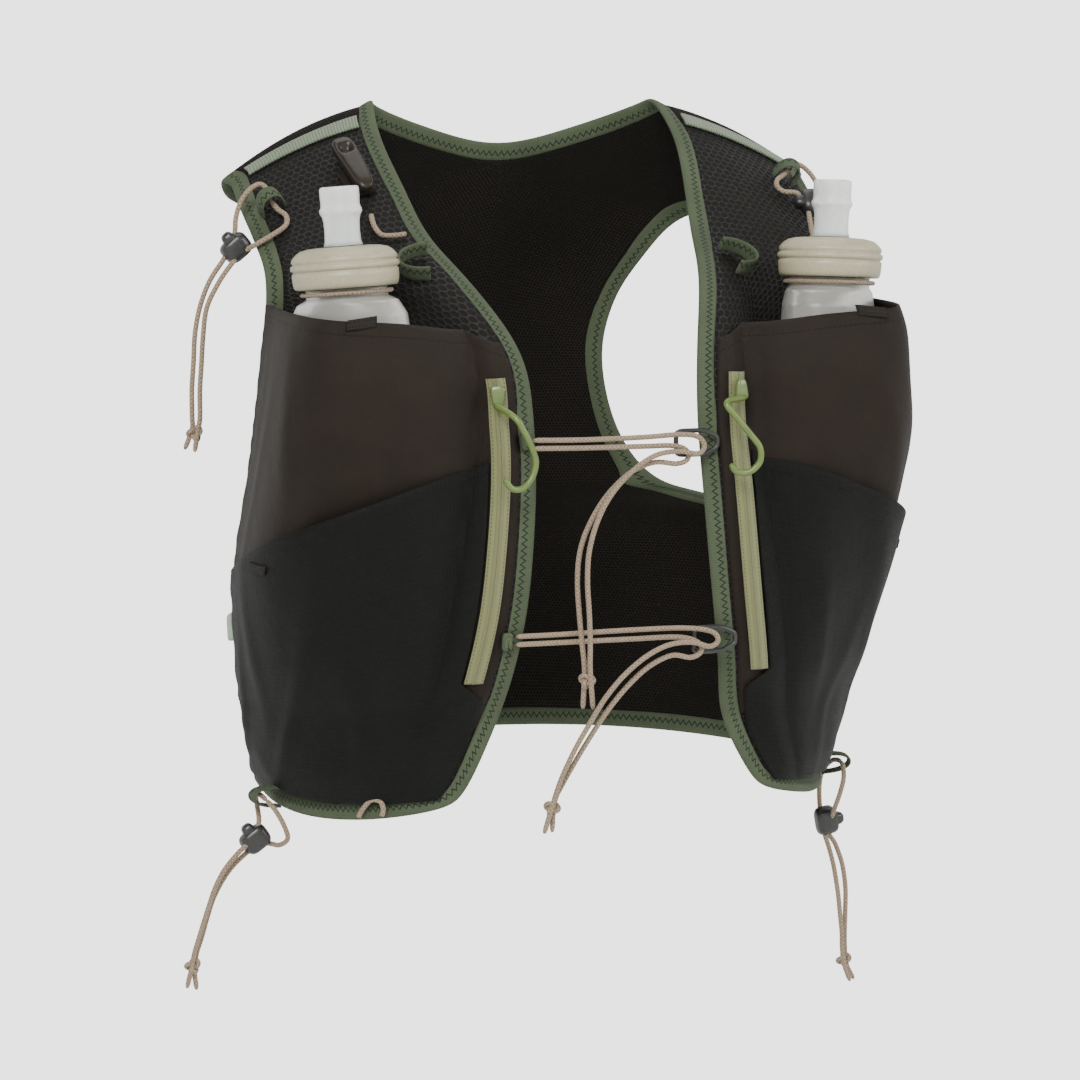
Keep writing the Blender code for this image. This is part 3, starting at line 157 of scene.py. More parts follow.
# The vest's own form: the rows that its panels are cut by, from the shoulder seams down to the hems. All that is
# sewn on lies on these two surfaces.
VEST_HEIGHT = 358 * MM
BODY_HALF_WIDTH = 158 * MM
FRONT_DEPTH = 117 * MM
BACK_DEPTH = 106 * MM
POCKET_DEPTH = 50 * MM
PANEL_WALL = 2.0 * MM
BINDING_WIDTH = 10 * MM
BINDING_WALL = 3.0 * MM
TUCK = 1.2 * MM
FRONT_ROWS = (
    # in_x, in_y, in_z, out_x, out_y, out_z, bulge, lift, shelf, pocket, lower
    (0.506, 0.34, -0.028, 0.994, 0.34, -0.117, 0.0, 0.011, 0.0, 1.2, 1.3),
    (0.506, 0.18, -0.067, 0.994, 0.17, -0.151, 0.0, 0.014, 0.0, 1.2, 1.3),
    (0.481, -0.017, -0.123, 0.981, 0.0, -0.193, 0.02, 0.014, 0.0, 1.4, 1.3),
    (0.449, -0.214, -0.187, 0.981, -0.171, -0.235, 0.03, 0.011, 0.017, 1.45, 1.3),
    (0.386, -0.538, -0.246, 0.987, -0.205, -0.293, 0.026, 0.006, 0.05, 1.42, 1.3),
    (0.291, -0.846, -0.338, 0.994, -0.171, -0.363, 0.026, 0.0, 0.085, 1.36, 1.36),
    (0.272, -0.923, -0.436, 1.0, -0.103, -0.447, 0.026, 0.0, 0.10, 1.36, 1.36),
    (0.278, -0.974, -0.531, 1.006, 0.0, -0.539, 0.06, 0.0, 0.11, 1.16, 1.18),
    (0.304, -0.991, -0.670, 1.006, 0.208, -0.659, 0.12, 0.0, 0.11, 0.84, 0.86),
    (0.342, -0.940, -0.774, 0.994, 0.236, -0.774, 0.17, 0.0, 0.094, 0.46, 0.50),
    (0.380, -0.838, -0.855, 0.975, 0.255, -0.860, 0.20, 0.0, 0.077, 0.20, 0.24),
    (0.462, -0.846, -0.930, 0.949, 0.264, -0.936, 0.20, -0.006, 0.05, 0.08, 0.10),
    (0.525, -0.846, -0.966, 0.937, 0.264, -0.978, 0.20, -0.025, 0.034, 0.02, 0.03),
)
BACK_ROWS = (
    # in_x, in_y, in_z, out_x, out_y, out_z, bulge, lift, down
    (0.506, 0.34, -0.028, 0.994, 0.34, -0.117, 0.0, 0.011, 0.0),
    (0.487, 0.47, 0.0, 1.013, 0.42, -0.115, 0.0, 0.014, 0.0),
    (0.456, 0.575, -0.008, 0.962, 0.57, -0.14, 0.0, 0.012, 0.25),
    (0.285, 0.66, -0.036, 0.823, 0.71, -0.162, 0.02, 0.010, 0.75),
    (0.0, 0.717, -0.067, 0.671, 0.81, -0.184, 0.05, 0.0, 1.0),
    (0.0, 0.80, -0.145, 0.557, 0.868, -0.24, 0.05, 0.0, 1.0),
    (0.0, 0.90, -0.25, 0.462, 0.906, -0.307, 0.04, 0.0, 1.0),
    (0.0, 0.943, -0.39, 0.418, 0.906, -0.394, 0.03, 0.0, 1.0),
    (0.0, 0.98, -0.50, 0.481, 0.925, -0.503, 0.03, 0.0, 1.0),
    (0.0, 0.99, -0.573, 0.614, 0.896, -0.578, 0.05, 0.0, 1.0),
    (0.0, 1.0, -0.61, 0.80, 0.72, -0.606, 0.12, 0.0, 1.0),
    (0.0, 1.0, -0.66, 1.006, 0.208, -0.659, 0.30, 0.0, 1.0),
    (0.0, 1.0, -0.80, 0.975, 0.255, -0.860, 0.30, 0.0, 1.0),
    (0.0, 0.99, -0.953, 0.937, 0.264, -0.978, 0.30, 0.0, 1.0),
)
HEM_ROW = len(FRONT_ROWS) - 1
UNDERARM_ROW = 8
NECK_ROW = 4
BACK_UNDERARM_ROW = 11
BACK_HEM_ROW = len(BACK_ROWS) - 1
SHELF_PEAK = 0.1
SHELF_END = 0.4


def spline(values, at):
    """The smooth curve through the rows of values, where at counts the rows from 0."""
    values = np.asarray(values, float)
    at = np.clip(np.asarray(at, float), 0, len(values) - 1)
    k = np.minimum(at.astype(int), len(values) - 2)
    t = (at - k)[..., None]
    padded = np.concatenate([2 * values[:1] - values[1:2], values, 2 * values[-1:] - values[-2:-1]])
    a, b, c, d = padded[k], padded[k + 1], padded[k + 2], padded[k + 3]
    return 0.5 * (2 * b + (c - a) * t + (2 * a - 5 * b + 4 * c - d) * t**2 + (3 * b - a - 3 * c + d) * t**3)


def sizes_of(rows, bow):
    """A table of rows in metres: its two end points, then its other columns, with bulge scaled by bow."""
    table = np.array(rows, float)
    for at in (0, 3):
        table[:, at] *= BODY_HALF_WIDTH
        table[:, at + 1] *= np.where(table[:, at + 1] < 0, FRONT_DEPTH, BACK_DEPTH)
        table[:, at + 2] *= VEST_HEIGHT
    table[:, 6] *= bow
    table[:, 7] *= VEST_HEIGHT
    return table


FRONT = sizes_of(FRONT_ROWS, FRONT_DEPTH)
FRONT[:, 8] *= FRONT_DEPTH
FRONT[:, 9:11] *= POCKET_DEPTH
BACK = sizes_of(BACK_ROWS, BACK_DEPTH)


def unit(vectors):
    """The vectors at length one."""
    vectors = np.asarray(vectors, float)
    return vectors / np.maximum(np.linalg.norm(vectors, axis=-1, keepdims=True), 1e-12)


def bowed(start, end, u, out, up, facing):
    """The chord from start to end at share u, pushed out sideways by out and upward by up."""
    chord = end - start
    level = np.stack([chord[..., 1], -chord[..., 0], 0 * chord[..., 0]], -1) * facing
    return start + chord * u[..., None] + unit(level) * out[..., None] + up[..., None] * np.array([0, 0, 1.0])


def front(u, v, stand=0.0):
    """The front panel at share u of row v: a chord bowed as 4u(1 - u), with a shelf that rises fast and then
    falls slowly."""
    u, v = np.broadcast_arrays(np.asarray(u, float), np.asarray(v, float))
    row = spline(FRONT, v)
    bow = 4 * u * (1 - u)
    rise = np.sin(np.clip(u / SHELF_PEAK, 0, 1) * math.pi / 2)
    fall = 0.5 + 0.5 * np.cos(np.clip((u - SHELF_PEAK) / (SHELF_END - SHELF_PEAK), 0, 1) * math.pi)
    out = row[..., 6] * bow + row[..., 8] * rise * fall + stand
    return bowed(row[..., 0:3], row[..., 3:6], u, out, row[..., 7] * bow, 1)


def neck_line(v):
    """The neckline, level at its middle, and below it the middle of the back."""
    mirrored = BACK[NECK_ROW - 1, 0:3] * np.array([-1, 1, 1])
    along = spline(np.vstack([BACK[: NECK_ROW + 1, 0:3], mirrored]), np.minimum(v, NECK_ROW))
    below = spline(BACK[NECK_ROW:, 0:3], np.maximum(v - NECK_ROW, 0))
    return np.where((v <= NECK_ROW)[..., None], along, below)


def back(u, v, trim=0.0):
    """The back at share u of row v, a chord bowed as 4u(1 - u), with its neck edge moved in by trim."""
    u, v = np.broadcast_arrays(np.asarray(u, float), np.asarray(v, float))
    row = spline(BACK, v)
    start, end = neck_line(v), row[..., 3:6]
    downward = unit(BACK[NECK_ROW + 1, 0:3] - BACK[NECK_ROW, 0:3])
    down = np.clip(row[..., 8], 0, 1)[..., None]
    inward = unit((1 - down) * unit(end - start) + down * downward)
    start = start + inward * (trim * np.clip(NECK_ROW + 1 - v, 0, 1))[..., None]
    bow = 4 * u * (1 - u)
    return bowed(start, end, u, row[..., 6] * bow, row[..., 7] * bow, -1)


def tucked(u, v):
    """The back inside its neck binding, whose fold takes in its edge."""
    return back(u, v, BINDING_WIDTH - TUCK)


def share_at(surface, v, distance, from_outside=False):
    """The share of each row at which the surface is that distance from one end of the row."""
    v = np.atleast_1d(np.asarray(v, float))
    distance = np.broadcast_to(distance, v.shape)
    u = np.linspace(0, 1, 201)
    points = surface(u[None, :] + 0 * v[:, None], v[:, None] + 0 * u[None, :])
    steps = np.linalg.norm(np.diff(points, axis=1), axis=-1)
    lengths = np.concatenate([np.zeros((len(v), 1)), np.cumsum(steps, axis=1)], 1)
    target = lengths[:, -1] - distance if from_outside else distance
    return np.array([np.interp(t, line, u) for t, line in zip(target, lengths)])


def row_above(surface, u, last_row, distance):
    """The row number at which each share of a row is that distance above the last row."""
    span = np.linalg.norm(surface(u, last_row + 0 * u) - surface(u, last_row - 1 + 0 * u), axis=-1)
    return last_row - distance / span


def slant(surface, rows):
    """How much longer a row's own way across the armhole binding is than the binding's width."""
    one = np.ones(len(rows))
    along = unit(surface(one, rows) - surface(0.97 * one, rows))
    edge = unit(surface(one, rows + 0.1) - surface(one, rows - 0.1))
    return 1 / np.clip(np.linalg.norm(np.cross(along, edge), axis=1), 0.35, 1)


def panel_shares(surface, rows, underarm, columns, inner):
    """The shares of each row that a panel covers, tucked into its bindings above the underarm."""
    bound = (BINDING_WIDTH - TUCK) * slant(surface, rows)
    below = np.clip((rows - underarm) / 0.5, 0, 1)
    outer = share_at(surface, rows, bound * (1 - below) + 0.3 * MM * below, True)
    return inner[:, None] + (outer - inner)[:, None] * np.linspace(0, 1, columns)


def flat_map(points):
    """Cloth coordinates in millimetres: the way across each row, and the mean way down the columns."""
    across = np.linalg.norm(np.diff(points, axis=1), axis=-1)
    down = np.linalg.norm(np.diff(points, axis=0), axis=-1).mean(axis=1)
    across = np.concatenate([np.zeros((len(points), 1)), np.cumsum(across, axis=1)], 1)
    down = np.concatenate([[0], np.cumsum(down)])
    return np.stack([across, down[:, None] + 0 * across], -1) / MM


class Value:
    """A number running through a finish's nodes. Sums, products and comparisons of values add Math nodes."""

    def __init__(self, finish, socket):
        self.finish = finish
        self.socket = socket

    def sum_of(self, operation, first, second=0.0):
        return self.finish.node("ShaderNodeMath", {"operation": operation}, {0: first, 1: second})

    def __add__(self, other):
        return self.sum_of("ADD", self, other)

    def __sub__(self, other):
        return self.sum_of("SUBTRACT", self, other)

    def __mul__(self, other):
        return self.sum_of("MULTIPLY", self, other)

    def __truediv__(self, other):
        return self.sum_of("DIVIDE", self, other)

    def __rsub__(self, other):
        return self.sum_of("SUBTRACT", other, self)

    def __lt__(self, other):
        return self.sum_of("LESS_THAN", self, other)

    __radd__ = __add__
    __rmul__ = __mul__

    def whole(self, operation):
        """A Math node of one input, such as FRACT, SINE, ABSOLUTE or SQRT."""
        return self.sum_of(operation, self)

    def at_least(self, other):
        return self.sum_of("MAXIMUM", self, other)

    def at_most(self, other):
        return self.sum_of("MINIMUM", self, other)

    def clamped(self):
        return self.at_least(0.0).at_most(1.0)


class Finish:
    """A material built round one Principled shader."""

    def __init__(self, name, roughness=0.8, **fixed):
        self.material = bpy.data.materials.new(name)
        self.material.use_nodes = True
        self.tree = self.material.node_tree
        self.shader = self.tree.nodes["Principled BSDF"]
        self.shader.inputs["Roughness"].default_value = roughness
        for key, value in fixed.items():
            self.feed(self.shader.inputs[key.replace("_", " ").title().replace("Ior", "IOR")], value)

    def feed(self, socket, value):
        """Links a value to a socket, or sets the socket to a number, a colour or a vector."""
        if isinstance(value, Value):
            self.tree.links.new(value.socket, socket)
        elif isinstance(value, tuple) and socket.type == "RGBA":
            socket.default_value = (*value, 1.0)
        else:
            socket.default_value = value

    def node(self, kind, settings=None, inputs=None, output=0):
        """A node of this kind, with its settings first and then the values or links of its sockets."""
        made = self.tree.nodes.new(kind)
        for key, value in (settings or {}).items():
            setattr(made, key, value)
        for key, value in (inputs or {}).items():
            self.feed(made.inputs[key], value)
        return Value(self, made.outputs[output])

    def cloth_lines(self):
        """The two cloth coordinates of a piece in millimetres: across and along."""
        uv = self.node("ShaderNodeUVMap", {"uv_map": "cloth"})
        apart = self.node("ShaderNodeSeparateXYZ", None, {0: uv})
        return apart, Value(self, apart.socket.node.outputs[1])

    def noise(self, scale, detail):
        """Soft noise over the object's own coordinates."""
        where = self.node("ShaderNodeTexCoord", None, None, 3)
        return self.node("ShaderNodeTexNoise", None, {"Vector": where, "Scale": scale, "Detail": detail})

    def mix(self, share, first, second):
        """The colour that share of the way from first to second."""
        return self.node("ShaderNodeMix", {"data_type": "RGBA"}, {0: share, 6: first, 7: second}, 2)

    def paint(self, colour, height, depth, rough=None):
        """Feeds the shader its colour, the bump of a height from 0 to 1, and its roughness."""
        self.feed(self.shader.inputs["Base Color"], colour)
        if rough is not None:
            self.feed(self.shader.inputs["Roughness"], rough)
        if depth:
            bump = self.node("ShaderNodeBump", None, {"Height": height, "Distance": depth, "Strength": 0.9})
            self.feed(self.shader.inputs["Normal"], bump)
        return self.material


def grained(name, roughness, scale, detail, dark, light, depth, rough=None, **fixed):
    """A moulded material: its grain runs from dark to light, makes its bump, and where rough holds a slope and a
    base, sets its roughness too."""
    finish = Finish(name, roughness, **fixed)
    grain = finish.noise(scale, detail)
    return finish.paint(finish.mix(grain, linear(*dark), linear(*light)), grain, depth,
                        grain * rough[0] + rough[1] if rough else None)


def wave(value, period):
    """From 0 to 1 and back once every period."""
    return (value * (2 * math.pi / period)).whole("SINE") * 0.5 + 0.5


def holes(across, along, pitch):
    """The distance, in pitches, to the nearest hole of a honeycomb, which is two rectangular nets of holes, one
    set between the other."""
    root = math.sqrt(3)
    x, y = across / pitch, along / (pitch * root)
    ax, ay = x.whole("FRACT") - 0.5, (y.whole("FRACT") - 0.5) * root
    bx, by = (x + 0.5).whole("FRACT") - 0.5, ((y + 0.5).whole("FRACT") - 0.5) * root
    return (ax * ax + ay * ay).at_most(bx * bx + by * by).whole("SQRT")


def piece(name, points, uv, form, material, slot, *nodes):
    """A finished piece, laid over a grid of points, that stands for these solids."""
    made = bpy.data.objects.new(name, lay_grid(name, points, uv, form))
    bpy.context.scene.collection.objects.link(made)
    made.data.materials.append(material)
    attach(made, "root")
    if nodes:
        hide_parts(*nodes)
    return made


def sheet_piece(name, points, mirror, wall, material, slot, *nodes):
    """A sheet with a wall, laid over points of the wearer's left or their mirror image."""
    made = piece(name, points * mirror, flat_map(points), SHEET, material, slot, *nodes)
    return walled(made, wall)


def opened(made):
    """Gives a piece that is cut on the fold at the middle its other half."""
    made.modifiers.new("fold", "MIRROR").merge_threshold = FOLD_MERGE
    return made


def walled(made, wall):
    """Gives a sheet its wall."""
    solid = made.modifiers.new("wall", "SOLIDIFY")
    solid.thickness = wall
    solid.offset = 0.0
    return made


def cut_cloth(points):
    """The two diagonals of each cell of a sheet, which nothing uses."""
    a, b = points[1:, 1:] - points[:-1, :-1], points[1:, :-1] - points[:-1, 1:]


# The back panel: one piece of dark open-knit lining with both shoulder yokes, cut on the fold at the middle of
# the back. Its edges are taken up in the bindings.
FOLD_MERGE = 0.05 * MM
LINING_PITCH = 1.9
LINING_DARK = linear(12, 11, 8)
LINING_LIGHT = linear(34, 30, 25)
lining = Finish("back_lining", 0.7, specular_ior_level=0.08, sheen_weight=0.02)
across, along = lining.cloth_lines()
net = ((holes(across, along, LINING_PITCH) - 0.30) * 7.0).clamped()
cloud = lining.noise(22.0, 4.0)
lining_cloth = lining.paint(
    lining.mix(net * (cloud * 0.8 + 0.35), LINING_DARK, LINING_LIGHT), net + cloud * 0.6, 0.25 * MM)

back_rows = np.concatenate([np.linspace(0.0, NECK_ROW, 33), np.linspace(NECK_ROW, BACK_HEM_ROW, 73)[1:]])
back_shares = panel_shares(tucked, back_rows, BACK_UNDERARM_ROW, 33, 0 * back_rows)
back_v = np.repeat(back_rows[:, None], 33, axis=1)
back_ends = row_above(tucked, back_shares[-1], BACK_HEM_ROW, BINDING_WIDTH - TUCK)
back_v = back_v - np.clip((back_v - BACK_UNDERARM_ROW) / (BACK_HEM_ROW - BACK_UNDERARM_ROW), 0, 1) * (
    BACK_HEM_ROW - back_ends)
back_points = tucked(back_shares, back_v)
ripple = 0.7 * MM * np.sin(back_v * 2.3 + 5 * back_shares) * np.sin(3.1 * back_shares + 0.9 * back_v)
back_points[..., 1] += ripple * np.clip(back_v - NECK_ROW, 0, 1)
back_points[back_rows >= NECK_ROW, 0, 0] = 0
back_cloth = opened(piece("back_lining", back_points, flat_map(back_points), SHEET, lining_cloth, "mesh_lining",
                          "back_panel"))
walled(back_cloth, PANEL_WALL)
cut_cloth(back_points)

# The two front panels, of glossy honeycomb air mesh from the shoulder seam to the hem. The flask pockets hide
# all but the upper chest and the shoulder.
MESH_PITCH = 4.1
MESH_HOLE = linear(9, 8, 7)
MESH_STRAND = linear(42, 37, 30)
air_mesh = Finish("honeycomb_mesh", 0.5, specular_ior_level=0.22)
across, along = air_mesh.cloth_lines()
cell = holes(across, along, MESH_PITCH)
strand = ((cell - 0.33) * 9.0).clamped()
mottle = air_mesh.noise(90.0, 2.0)
knit = wave(across, 0.7) * wave(along, 0.7)
air_mesh_cloth = air_mesh.paint(
    air_mesh.mix(strand, MESH_HOLE, air_mesh.mix(mottle * knit, linear(24, 21, 17), MESH_STRAND)),
    strand * 0.9 + knit * 0.12, 0.9 * MM, 0.75 - strand * 0.33)

front_rows = np.linspace(0.0, HEM_ROW, 97)
front_inner = share_at(front, front_rows, BINDING_WIDTH - TUCK)
front_shares = panel_shares(front, front_rows, UNDERARM_ROW, 25, front_inner)
front_v = np.repeat(front_rows[:, None], 25, axis=1)
front_ends = row_above(front, front_shares[-1], HEM_ROW, BINDING_WIDTH - TUCK)
lowered = np.clip((front_v - UNDERARM_ROW) / (HEM_ROW - UNDERARM_ROW), 0, 1)
front_v = front_v - lowered * (HEM_ROW - front_ends)
front_points = front(front_shares, front_v)
SIDES = (("right", np.array([-1.0, 1, 1])), ("left", np.array([1.0, 1, 1])))
for name, mirror in SIDES:
    cloth = sheet_piece(f"front_mesh_{name}", front_points, mirror, PANEL_WALL, air_mesh_cloth, "mesh_lining",
                        f"front_panel_{name}")
    cut_cloth(front_points)

# The bindings: folded sage tape round every raw edge, held by a zigzag row of darker thread. One runs round the
# neck, down both front edges and along both front hems, one round each armhole, one along the back hem.
TAPE_FACE = linear(83, 92, 70)
TAPE_SHADE = linear(52, 61, 45)
THREAD = linear(30, 40, 29)
RIB_STEP = 0.85
ZIGZAG_STEP = 3.4
ZIGZAG_SWING = 2.6
ZIGZAG_LINE = 5.6
THREAD_HALF = 0.42
tape = Finish("sage_tape", 0.78, specular_ior_level=0.15, sheen_weight=0.04)
across, along = tape.cloth_lines()
swing = ((along / ZIGZAG_STEP).whole("FRACT") - 0.5).whole("ABSOLUTE") * (2 * ZIGZAG_SWING) - ZIGZAG_SWING / 2
stitch = 1 - (((across - ZIGZAG_LINE - swing).whole("ABSOLUTE") - THREAD_HALF) * 4.0).clamped()
ribs = wave(along, RIB_STEP) * (wave(across, 1.3) * 0.4 + 0.6)
fade = tape.noise(40.0, 3.0)
tape_cloth = tape.paint(
    tape.mix(stitch, tape.mix((ribs * 0.45 + fade * 0.55).clamped(), TAPE_SHADE, TAPE_FACE), THREAD),
    ribs * 0.35 + stitch * 0.5, 0.35 * MM)


def softened(line, closed, passes=3):
    """The line with each point eased towards its two neighbours, which rounds a turned corner. An open line
    starts on the fold, so its first point's other neighbour is the mirror image of its second."""
    for _ in range(passes):
        if closed:
            line = (np.roll(line, 1, axis=0) + 2 * line + np.roll(line, -1, axis=0)) / 4
        else:
            line = np.vstack([line[1:2] * np.array([-1.0, 1, 1]), line])
            line = np.vstack([(line[:-2] + 2 * line[1:-1] + line[2:]) / 4, line[-1:]])
    return line


def folded_tape(outer, inner, wall, closed=False, sides=20, fullness=0.5):
    """A ring of points round each station of a tape: across its width as a cosine, and through its wall as a
    rounded box, half the wall times (1 - c^4)^fullness."""
    ahead = np.roll(outer + inner, -1, axis=0) - np.roll(outer + inner, 1, axis=0)
    if not closed:
        ahead[0] = (outer + inner)[1] - (outer + inner)[0]
        ahead[-1] = (outer + inner)[-1] - (outer + inner)[-2]
    middle, half = (outer + inner) / 2, (outer - inner) / 2
    facing = unit(np.cross(half, ahead))
    turn = np.linspace(0, 2 * math.pi, sides + 1)
    c, s = np.cos(turn), np.sin(turn)
    lift = np.sign(s) * np.maximum(1 - c**4, 0) ** fullness * wall / 2
    points = middle[:, None] + half[:, None] * c[None, :, None] + facing[:, None] * lift[None, :, None]
    steps = np.linalg.norm(np.diff(middle, axis=0), axis=-1)
    length = np.concatenate([[0], np.cumsum(steps)])
    if closed:
        length = np.append(length, length[-1] + np.linalg.norm(middle[0] - middle[-1]))
    width = np.linalg.norm(half, axis=-1).mean() * 2
    uv = np.stack(np.broadcast_arrays((1 - c[None, :]) / 2 * width, length[:, None]), -1) / MM
    return points[:, :-1], uv


neck = np.linspace(NECK_ROW, 0, 57)
edge = np.linspace(0, HEM_ROW, 161)[1:]
hem = np.linspace(0, 1, 57)[1:]
hem_corner = share_at(front, HEM_ROW, BINDING_WIDTH)[0]
hem_turn = HEM_ROW - UNDERARM_ROW
hem_lowest = row_above(front, np.array([hem_corner]), HEM_ROW, BINDING_WIDTH)[0]
inner_edge = edge - np.clip((edge - HEM_ROW + hem_turn) / hem_turn, 0, 1) * (HEM_ROW - hem_lowest)
inner_hem = np.minimum(hem_corner + (1 - hem_corner) * hem, 0.996)
outer_hem = front(np.minimum(hem, 0.996), HEM_ROW + 0 * hem)
outer_line = np.vstack([neck_line(neck), front(0 * edge, edge), outer_hem])
inner_line = np.vstack([
    back(0 * neck, neck, BINDING_WIDTH),
    front(share_at(front, inner_edge, BINDING_WIDTH), inner_edge),
    front(inner_hem, row_above(front, inner_hem, HEM_ROW, BINDING_WIDTH)),
])
outer_line, inner_line = softened(outer_line, False, 26), softened(inner_line, False, 26)
outer_line[0, 0] = inner_line[0, 0] = 0
points, uv = folded_tape(outer_line, inner_line, BINDING_WALL)
points[0, :, 0] = 0
opened(piece("front_tape", points, uv, FOLDED, tape_cloth, "sage_binding", "front_binding"))

arm_front = np.linspace(0, UNDERARM_ROW, 81)[:-1]
arm_back = np.linspace(0, BACK_UNDERARM_ROW, 111)[1:-1][::-1]
arm_step = np.linalg.norm(FRONT[UNDERARM_ROW + 1, 3:6] - FRONT[UNDERARM_ROW, 3:6])
arm_low = UNDERARM_ROW + BINDING_WIDTH / arm_step
arm_outer = np.vstack([front(1 + 0 * arm_front, arm_front), FRONT[UNDERARM_ROW, None, 3:6],
                       back(1 + 0 * arm_back, arm_back)])
arm_inner = np.vstack([
    front(share_at(front, arm_front, BINDING_WIDTH * slant(front, arm_front), True), arm_front),
    front(np.array([1.0]), np.array([arm_low])),
    tucked(share_at(tucked, arm_back, BINDING_WIDTH * slant(tucked, arm_back), True), arm_back),
])
arm_outer, arm_inner = softened(arm_outer, True, 6), softened(arm_inner, True, 6)
for name, mirror in SIDES:
    points, uv = folded_tape(arm_outer * mirror, arm_inner * mirror, BINDING_WALL, True)
    piece(f"armhole_tape_{name}", points, uv, RING, tape_cloth, "sage_binding", f"armhole_binding_{name}")

hem_shares = np.minimum(np.linspace(0, 1, 81), 0.997)
back_outer = back(hem_shares, BACK_HEM_ROW + 0 * hem_shares)
back_inner = back(hem_shares, row_above(back, hem_shares, BACK_HEM_ROW, BINDING_WIDTH))
back_outer[0, 0] = back_inner[0, 0] = 0
points, uv = folded_tape(back_outer, back_inner, BINDING_WALL)
points[0, :, 0] = 0
opened(piece("back_hem_tape", points, uv, FOLDED, tape_cloth, "sage_binding", "back_hem_binding"))

# The flask pockets, of brown stretch-woven nylon with a turned and stitched top edge. Each is cut full, so that
# it stands round a flask, and is sewn down beside the front edge and into the armhole binding.
POCKET_WALL = 1.2 * MM
CLEARANCE = 0.4 * MM
POCKET_START = 0.155
POCKET_SKEW = 0.92
POCKET_FULLNESS = 0.6
POCKET_EASE = 0.55
POCKET_BASE = PANEL_WALL / 2 + 1.2 * MM + POCKET_WALL / 2
LAYER = POCKET_WALL + CLEARANCE
POCKET_EDGE = BINDING_WIDTH - 0.8 * MM
FLASK_RIM = ((0.0, 4.85), (0.25, 4.5), (0.5, 4.25), (0.75, 4.0), (1.0, 3.75))
FLASK_POCKET_END = 10.0
POCKET_OVERLAP = 0.6 * MM
BROWN_FACE = linear(37, 30, 24)
BROWN_SHADE = linear(25, 20, 15)
FLASK_CREASES = (
    # share, row, half width in shares, half length in rows, slope in shares a row, height in millimetres
    (0.20, 6.6, 0.030, 1.6, 0.010, 1.0),
    (0.33, 5.4, 0.045, 1.1, -0.030, 1.2),
    (0.52, 6.7, 0.050, 1.4, 0.045, 1.5),
    (0.70, 5.9, 0.040, 1.3, -0.040, 1.6),
    (0.86, 6.8, 0.030, 1.4, 0.015, 1.5),
    (0.93, 5.2, 0.022, 0.5, 0.0, 1.0),
    (0.94, 6.2, 0.022, 0.5, 0.0, 1.0),
    (0.62, 4.4, 0.060, 0.4, 0.10, 0.6),
)


def creased(shares, rows, creases):
    """The height of the folds: each is a ridge, exp(-a^2) across its leaning line and exp(-b^2) along it."""
    table = np.array(creases)[:, :, None, None]
    across = (shares - table[:, 0] - table[:, 4] * (rows - table[:, 1])) / table[:, 2]
    along = (rows - table[:, 1]) / table[:, 3]
    return (np.exp(-across**2 - along**2) * table[:, 5]).sum(axis=0) * MM


def puckered(k, rows, count, height):
    """The gathers along both side seams, which die away as exp(-distance), and a slow swell over all."""
    gather = np.sin(2 * math.pi * (count * rows + 1.7 * k + 0.3 * np.sin(3.1 * rows)))
    near = np.exp(-k / 0.05) * 0.5 + np.exp(-(1 - k) / 0.10)
    swell = np.sin(7.0 * k + 1.9 * rows) * np.sin(2.3 * rows - 4.0 * k) * 0.35
    return ((0.5 + 0.5 * gather) * near * np.clip(k / 0.02, 0, 1) + swell) * height * MM * 0.7


def pocket(u, v, column, extra):
    """A chest pocket: the panel, plus a belly as sin(pi a^skew)^(fullness + ease a) times its depth."""
    u, v = np.broadcast_arrays(np.asarray(u, float), np.asarray(v, float))
    a = np.clip((u - POCKET_START) / (1 - POCKET_START), 0, 1)
    belly = np.maximum(np.sin(math.pi * a**POCKET_SKEW), 0) ** (POCKET_FULLNESS + POCKET_EASE * a)
    return front(u, v, spline(FRONT, v)[..., column] * belly + POCKET_BASE + extra)


def pocket_places(rim, last_row, edge, columns, rows):
    """The shares and rows that a pocket covers, from its rim to its last row and from edge(row) outward."""
    rim = np.array(rim)
    k = np.linspace(0, 1, columns)
    top = spline(rim[:, 1:], k * (len(rim) - 1))[:, 0]
    v = top + np.linspace(0, 1, rows)[:, None] * (last_row - top)
    inner = share_at(front, v[:, 0], edge(v[:, 0]))
    outer = share_at(front, v[:, -1], POCKET_OVERLAP, True)
    below = np.clip((v[:, -1] - UNDERARM_ROW) / 0.7, 0, 1)
    outer = outer + below * (0.992 - outer)
    eased = k - 0.35 * np.sin(2 * math.pi * k) / (2 * math.pi)
    return inner[:, None] + (outer - inner)[:, None] * eased, v, k


RIM_STITCH = 7.0
STITCH_STEP = 2.6
STITCH_SHARE = 0.62


def rim_stitches(across, along):
    """The dashes of thread below a pocket's turned rim."""
    dash = ((across / STITCH_STEP).whole("FRACT") - STITCH_SHARE) < 0.0
    return (1 - (((along - RIM_STITCH).whole("ABSOLUTE") - 0.25) * 5.0).clamped()) * dash


nylon = Finish("brown_nylon", 0.6, specular_ior_level=0.12, sheen_weight=0.02)
across, along = nylon.cloth_lines()
weave = wave(across, 0.62) * 0.5 + wave(along, 0.62) * 0.5
crinkle = nylon.noise(55.0, 5.0)
rim_seam = rim_stitches(across, along)
nylon_cloth = nylon.paint(
    nylon.mix(rim_seam * 0.7, nylon.mix((weave * 0.35 + crinkle * 0.65).clamped(), BROWN_SHADE, BROWN_FACE),
              linear(18, 15, 12)),
    weave * 0.1 + crinkle * 0.9 - rim_seam * 0.3, 1.2 * MM)

